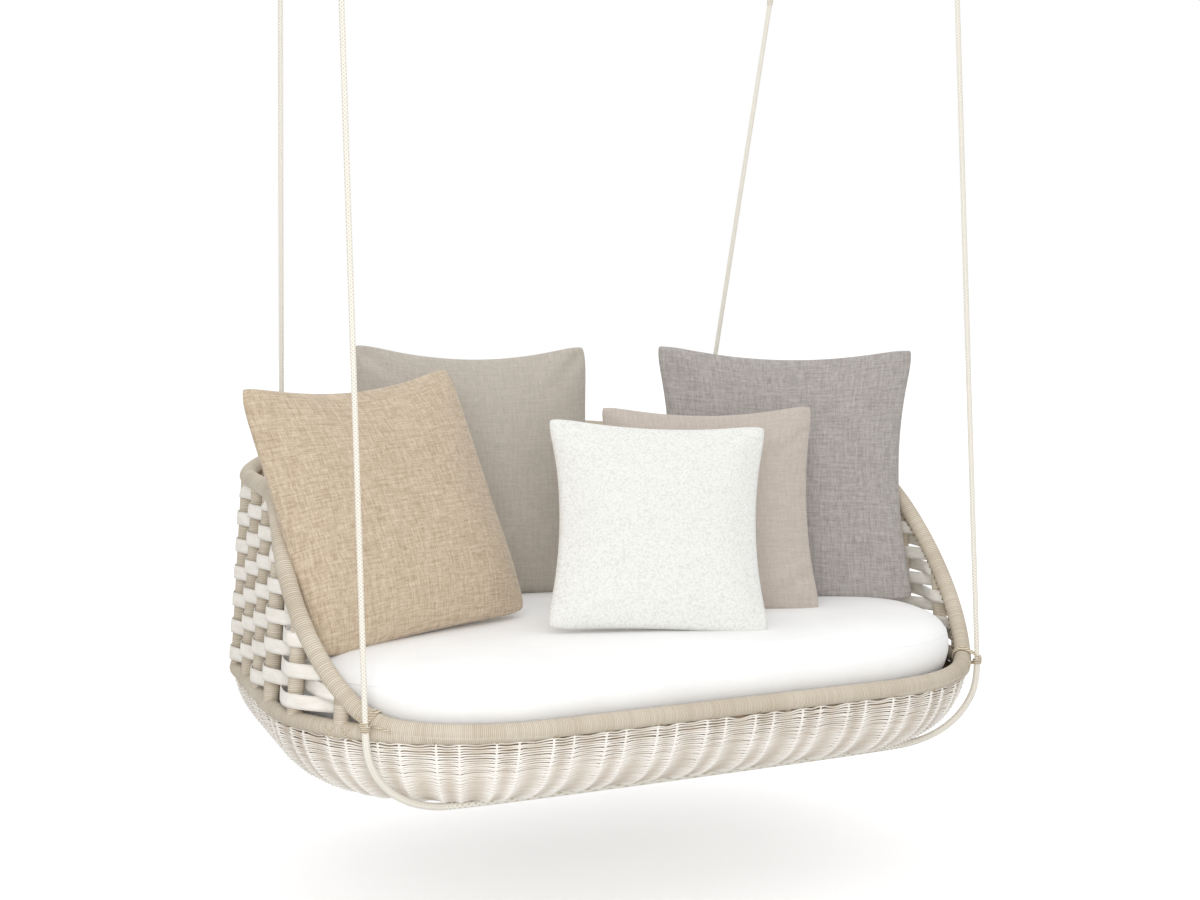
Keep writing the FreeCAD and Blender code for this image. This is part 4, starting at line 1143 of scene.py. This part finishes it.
class LOUNGER_OT_straps(bpy.types.Operator):
    """Weaves the flat straps in and out of the posts"""

    bl_idname = "lounger.straps"
    bl_label = "Woven straps"

    def execute(self, context):
        ways = post_ways(0, POST_GAPS)
        for panel, first, last in panel_posts():
            low = ways[first] if first else 0.0
            high = ways[last] if last < POST_GAPS else LOOP
            rows = []
            for row in range(STRAP_ROWS):
                start = float(rim_way(STRAP_FIRST + row * STRAP_PITCH + STRAP_WIDTH))
                for near, far in strap_spans(row, low, high):
                    if max(near, start) < min(far, LOOP - start) - 0.02:
                        rows.append(strap_row(panel, row, near, far))
            mesh = join(panel + "_straps_woven", rows)
            piece = show(panel + "_straps_woven", mesh, "woven_strap", [panel + "_straps"])
            thicker = piece.modifiers.new("Thickness", "SOLIDIFY")
            thicker.thickness = STRAP_THICKNESS
            thicker.offset = 0.0
            apply_modifiers(piece)
        return {"FINISHED"}


class LOUNGER_OT_bowl(bpy.types.Operator):
    """Weaves the wicker bowl: strands round it, stakes down it, a flat floor"""

    bl_idname = "lounger.bowl"
    bl_label = "Wicker bowl"

    def execute(self, context):
        sizes = context.scene.lounger_sizes
        stakes = stake_count()
        angles = strand_angles()
        thirds = np.array_split(np.arange(len(angles)), 3)
        for word, part in zip(("upper", "middle", "lower"), thirds):
            lines, tones = zip(*[strand_line(index, angles[index], stakes) for index in part])
            mesh = tubes("wicker_" + word, lines, sizes.strand_radius, 1, closed=True)
            ring_tones(mesh, tones, sides=6)
            show("wicker_" + word, mesh, "wicker", ["wicker_bowl"])
        self.make_stakes(stakes, sizes)
        self.make_floor(sizes)
        self.make_shade_sheet()
        return {"FINISHED"}

    def make_stakes(self, stakes, sizes):
        """Stakes over the side, down to the flat floor."""
        down = np.radians(np.linspace(5.5, 90.0, 26))
        lines = [bowl_point(np.full(len(down), way), down, -0.0042)
                 for way in stake_way(np.arange(stakes))]
        show_toned("wicker_stakes", lines, sizes.stake_radius, "wicker", (0.45, 1.0),
                   300)

    def make_floor(self, sizes):
        """Strands and stakes of the flat floor under the bowl."""
        inner = BOWL_OVERHANG - BOWL_DEPTH
        edge, _ = plan(np.linspace(0, HALF_LOOP, 900), inner)
        front, back = edge[:, 1].min(), edge[:, 1].max()
        lines = []
        for index, y in enumerate(np.arange(front + 0.003, back, FLOOR_STRAND_STEP)):
            reach = edge[np.abs(edge[:, 1] - y) < 0.004, 0].max()
            count = max(6, int(reach / (FLOOR_STAKE_PITCH / 2)) * 2)
            x = np.linspace(-reach, reach, count + 1)
            lift = 0.0016 * np.cos(math.pi * (x / FLOOR_STAKE_PITCH + index % 2))
            height = -BOWL_DEPTH + 0.0036 - lift
            lines.append(np.column_stack((x, 0 * x + y, height)) + SEAT_AT)
        for x in np.arange(-15 * FLOOR_STAKE_PITCH, 15.5 * FLOOR_STAKE_PITCH,
                           FLOOR_STAKE_PITCH):
            near = edge[np.abs(edge[:, 0] - abs(x)) < 0.006, 1]
            if len(near) > 1 and near.max() - near.min() > 0.1:
                y = np.linspace(near.min(), near.max(), 12)
                height = 0 * y - BOWL_DEPTH + 0.0034
                lines.append(np.column_stack((0 * y + x, y, height)) + SEAT_AT)
        show_toned("wicker_floor", lines, sizes.strand_radius, "wicker", (0.25, 0.95),
                   400)

    def make_shade_sheet(self):
        """A dark sheet inside the bowl, painted shade seen through the gaps between strands."""
        on_side = 0.8
        mesh, share, level = unit_grid("wicker_lining", 240, 26)
        way = (share * 2 - 1) * HALF_LOOP
        angle = np.radians(7.5 + 82.5 * np.minimum(level / on_side, 1.0))
        points = bowl_point(way, angle, -0.0117) - SEAT_AT
        inward = np.clip((level - on_side) / (1 - on_side), 0, 1)[:, None]
        middle = np.column_stack((points[:, 0], 0 * way + DEPTH / 2, points[:, 2]))
        middle[:, 0] = np.clip(points[:, 0], -0.30, 0.30)
        place(mesh, points + (middle - points) * inward + SEAT_AT)
        shade_sheet = join("wicker_lining", [mesh], weld=0.0001)
        slow_tones(shade_sheet, 0.3, 0.6, 9)
        show("wicker_lining", shade_sheet, "wicker_inside")


class LOUNGER_OT_lacing(bpy.types.Operator):
    """Sews the straps and the bowl to the rim and the rail"""

    bl_idname = "lounger.lacing"
    bl_label = "Lacing"

    def execute(self, context):
        pitch = context.scene.lounger_sizes.lacing_pitch
        first, last = FRONT_TIE_WAY + 0.03, LOOP - FRONT_TIE_WAY - 0.03
        lines = [stitch(way, CANE_RADIUS + 0.0011, 186, 268, 0.009)
                 for way in np.arange(first, last, pitch)]
        show_toned("rim_lacing", lines, LACING_RADIUS, "lacing", (0.2, 0.9), 40)
        lines = []
        chooser = np.random.default_rng(41)
        for way in stake_way(np.arange(0, stake_count(), 2)):
            on_rail = abs(way) > RAIL_START + RAIL_EASE
            radius = RAIL_RADIUS if on_rail else CANE_RADIUS
            for shift in (-0.003, 0.003):
                lines.append(stitch(way + shift, radius, 258, chooser.uniform(296, 322),
                                    chooser.uniform(-0.006, 0.006), on_rail))
        show_toned("bowl_stitches", lines, STITCH_RADIUS, "lacing", (0.2, 0.8), 41)
        return {"FINISHED"}


class LOUNGER_OT_ropes(bpy.types.Operator):
    """Hangs the four ropes and the sling, and lashes them to the rim"""

    bl_idname = "lounger.ropes"
    bl_label = "Ropes"

    def execute(self, context):
        for side, word in ((-1, "left"), (1, "right")):
            self.hang(side, word)
            lines = [lashing(side, turns=4, lay=0.0018),
                     whipping(side, turns=4, lay=0.0017, low=-0.012, pitch=0.0036),
                     *cross_stitches(side)]
            mesh = tubes("tie_" + word + "_lashing", lines, LACING_RADIUS, 1)
            show("tie_" + word + "_lashing", mesh, "tie_cord", ["front_ties"])
        self.sling()
        return {"FINISHED"}

    def hang(self, side, word):
        """A front and a back rope on one side."""
        for place, hook, tie, gap in (("front", FRONT_HOOK, front_tie(side), PIVOT_GAP / 2),
                                      ("back", BACK_HOOK, back_tie(side), RIM_SPLICE_END)):
            top = rope_top(side, hook, tie)
            foot = tie + (top - tie).normalized() * gap
            rope(place + "_" + word + "_rope", [foot, (foot + top) / 2, top], ROPE_RADIUS,
                 place + "_ropes", "fitting",
                 [place + "_splices", place + "_rope_eyes", place + "_thimbles"])

    def sling(self):
        """The thick rope from one front tie, under the bowl, to the other."""
        halves = []
        for side in (-1, 1):
            tie = front_tie(side)
            flat = Vector((side * (FRONT_CENTRE[0] + SLING_FLAT_OUT),
                           FRONT_CENTRE[1] - SLING_FLAT_FORWARD, 0)) + Vector(SEAT_AT)
            level = Vector((tie.x, tie.y, SEAT_AT[2]))
            half = [tie - Vector((0, 0, PIVOT_GAP / 2))]
            for out, drop in SLING_POINTS:
                half.append(level.lerp(flat, out / SLING_RUN) - Vector((0, 0, drop)))
            halves.append(half)
        rope("front_sling", halves[0] + halves[1][::-1], SLING_RADIUS, "lounger", "object")


class LOUNGER_OT_seat(bpy.types.Operator):
    """Fills the seat cushion and sews its welt"""

    bl_idname = "lounger.seat"
    bl_label = "Seat cushion"

    def execute(self, context):
        mesh = seat_mesh("seat_cushion_cloth")
        piece = show("seat_cushion_cloth", mesh, "seat_cloth", ["seat_cushion"],
                     "seat_cushion")
        remesh = piece.modifiers.new("Remesh", "REMESH")
        remesh.mode = "VOXEL"
        remesh.voxel_size = 0.018
        apply_modifiers(piece)
        swell([piece], context.scene.lounger_sizes.cushion_swell)
        subdivide(piece)
        piece.data.materials.clear()
        piece.data.materials.append(finish_for("seat_cloth"))
        self.make_welt(piece)
        return {"FINISHED"}

    def make_welt(self, piece):
        """The welt that runs round the border, laid on the filled cloth."""
        bpy.context.view_layer.update()
        ways = np.linspace(-HALF_LOOP, HALF_LOOP, 420, endpoint=False)
        start, normal = wall(ways, CUSHION_SEAM, 0.06)
        line = []
        into = piece.matrix_world.inverted()
        for point, side in zip(start, normal):
            way = Vector((-side[0], -side[1], 0))
            hit, where, _, _ = piece.ray_cast(into @ Vector(point), way, distance=0.3)
            if hit:
                line.append(piece.matrix_world @ where)
        mesh = tubes("seat_cushion_welt", [np.array(line)], WELT_RADIUS, 1, closed=True)
        show("seat_cushion_welt", mesh, "seat_cloth", body="seat_cushion")


class LOUNGER_OT_pillows(bpy.types.Operator):
    """Fills the five scatter cushions and leans them where they stand"""

    bl_idname = "lounger.pillows"
    bl_label = "Scatter cushions"

    def execute(self, context):
        made = {}
        for seed, name in enumerate(PILLOWS, 3):
            holder = bpy.data.objects.new(name + "_form", pillow_mesh(name, seed))
            context.scene.collection.objects.link(holder)
            made[name] = holder
        swell(list(made.values()), context.scene.lounger_sizes.cushion_swell)
        for name, holder in made.items():
            subdivide(holder)
            mesh = holder.data
            bpy.data.objects.remove(holder)
            cloth, _, angles, _, _, shift = PILLOWS[name]
            turn, lean, roll = (math.radians(angle) for angle in angles)
            mesh.transform(Matrix.Rotation(turn, 4, "Z") @ Matrix.Rotation(-lean, 4, "X")
                           @ Matrix.Rotation(roll, 4, "Y"))
            low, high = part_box(name)
            where = (low + high) / 2 + Vector((shift, 0, 0))
            where.z = CUSHION_TOP + SEAT_AT[2] - PRESSED - coordinates(mesh)[:, 2].min()
            mesh.transform(Matrix.Translation(where))
            piece = show(name + "_cloth", mesh, cloth, [name], name)
        return {"FINISHED"}


class LOUNGER_OT_fittings(bpy.types.Operator):
    """Paints the ceiling fittings, eyes, ribs, rings and belts"""

    bl_idname = "lounger.fittings"
    bl_label = "Fittings"

    def execute(self, context):
        groups = (("ceiling_plates ceiling_eyes front_thimbles back_thimbles",
                   "fitting_steel", "fitting_steel"),
                  ("front_rope_eyes back_rope_eyes back_rim_eyes", "rope_fitting", "rope"),
                  ("front_splices back_splices back_rim_splices", "rope_fitting", "tie_cord"),
                  ("bowl_ribs bottom_ring deck_ring", "hidden_frame", "hidden_frame"),
                  ("deck_belts", "deck_belt", "deck_belt"))
        for names, finish_slot, slot in groups:
            for name in names.split():
                paint_node(name, finish_slot)
        return {"FINISHED"}


class LOUNGER_OT_stage(bpy.types.Operator):
    """Sets the pale floor, the soft light and the camera"""

    bl_idname = "lounger.stage"
    bl_label = "Stage"

    def execute(self, context):
        scene = context.scene
        scene.view_settings.view_transform = "Standard"
        camera = bpy.data.objects.new("camera", bpy.data.cameras.new("camera"))
        camera.data.lens = CAMERA_LENS
        camera.data.sensor_width = 36.0
        camera.location = CAMERA_AT
        camera.rotation_euler = [math.radians(angle) for angle in CAMERA_TURN]
        scene.collection.objects.link(camera)
        scene.camera = camera
        self.make_floor(scene)
        self.make_world(scene)
        light = scene.lounger_light
        self.lamp(scene, "key_lamp", *KEY_LAMP, light.key)
        self.lamp(scene, "top_lamp", *TOP_LAMP, light.top)
        return {"FINISHED"}

    def lamp(self, scene, name, where, size, power):
        """A round soft lamp that faces the lounger."""
        data = bpy.data.lights.new(name, "AREA")
        data.shape = "DISK"
        data.size = size
        data.energy = power
        lamp = bpy.data.objects.new(name, data)
        lamp.location = where
        facing = LIT_MIDDLE - Vector(where)
        lamp.rotation_euler = facing.to_track_quat("-Z", "Y").to_euler()
        scene.collection.objects.link(lamp)

    def make_floor(self, scene):
        """A wide pale floor that shows white and keeps the shadow."""
        bm = bmesh.new()
        bmesh.ops.create_grid(bm, x_segments=1, y_segments=1, size=FLOOR_SIZE)
        mesh = bpy.data.meshes.new("floor")
        bm.to_mesh(mesh)
        bm.free()
        mesh.transform(Matrix.Translation((0, 0, FLOOR_HEIGHT)))
        floor = bpy.data.objects.new("floor", mesh)
        scene.collection.objects.link(floor)
        material = bpy.data.materials.new("floor_white")
        material.use_nodes = True
        tree = material.node_tree
        tree.nodes.remove(tree.nodes["Principled BSDF"])
        matt = node(material, "BsdfDiffuse", Color=(FLOOR_GREY, FLOOR_GREY, FLOOR_GREY, 1.0))
        seen = node(material, "LightPath").outputs["Is Camera Ray"]
        strength = math_node(material, "MULTIPLY", seen, FLOOR_GLOW)
        glow = node(material, "Emission", Strength=strength)
        both = node(material, "AddShader", s0=matt.outputs[0], s1=glow.outputs[0])
        tree.links.new(both.outputs[0], tree.nodes["Material Output"].inputs["Surface"])
        mesh.materials.append(material)

    def make_world(self, scene):
        """Even light from all round, white where the camera sees it."""
        world = bpy.data.worlds.new("studio")
        scene.world = world
        world.use_nodes = True
        tree = world.node_tree
        background = tree.nodes["Background"]
        background.inputs["Color"].default_value = (1.0, 1.0, 1.0, 1.0)
        path = tree.nodes.new("ShaderNodeLightPath")
        level = tree.nodes.new("ShaderNodeMath")
        level.operation = "MULTIPLY_ADD"
        sky = scene.lounger_light.sky
        tree.links.new(path.outputs["Is Camera Ray"], level.inputs[0])
        level.inputs[1].default_value = 1.0 - sky
        level.inputs[2].default_value = sky
        tree.links.new(level.outputs[0], background.inputs["Strength"])


class LOUNGER_PT_panel(bpy.types.Panel):
    """Lists the lounger's pieces in the sidebar"""

    bl_idname = "LOUNGER_PT_panel"
    bl_label = "Hanging lounger"
    bl_space_type = "VIEW_3D"
    bl_region_type = "UI"
    bl_category = "Lounger"

    def draw(self, context):
        for group in (context.scene.lounger_sizes, context.scene.lounger_colours,
                      context.scene.lounger_light):
            box = self.layout.box()
            for name in group.bl_rna.properties.keys():
                if name not in ("rna_type", "name"):
                    box.prop(group, name)
        for operator in OPERATORS:
            self.layout.operator(operator.bl_idname)


OPERATORS = (LOUNGER_OT_stage, LOUNGER_OT_ropes, LOUNGER_OT_frame, LOUNGER_OT_straps,
             LOUNGER_OT_bowl, LOUNGER_OT_lacing, LOUNGER_OT_seat, LOUNGER_OT_pillows,
             LOUNGER_OT_fittings)
GROUPS = {"lounger_sizes": LoungerSizes, "lounger_colours": LoungerColours,
          "lounger_light": LoungerLight}


def register():
    """Make the add-on's classes known, and give the scene their values."""
    for one in (*GROUPS.values(), *OPERATORS, LOUNGER_PT_panel):
        bpy.utils.register_class(one)
    for name, group in GROUPS.items():
        setattr(bpy.types.Scene, name, bpy.props.PointerProperty(type=group))


def unregister():
    """Take the add-on's classes away again."""
    for name in GROUPS:
        delattr(bpy.types.Scene, name)
    for one in reversed((*GROUPS.values(), *OPERATORS, LOUNGER_PT_panel)):
        bpy.utils.unregister_class(one)


def main():
    """Build every piece in order."""
    register()
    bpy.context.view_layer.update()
    bpy.ops.lounger.stage()
    bpy.ops.lounger.ropes()
    bpy.ops.lounger.frame()
    bpy.ops.lounger.straps()
    bpy.ops.lounger.bowl()
    bpy.ops.lounger.lacing()
    bpy.ops.lounger.seat()
    bpy.ops.lounger.pillows()
    bpy.ops.lounger.fittings()


if __name__ == "__main__":
    main()
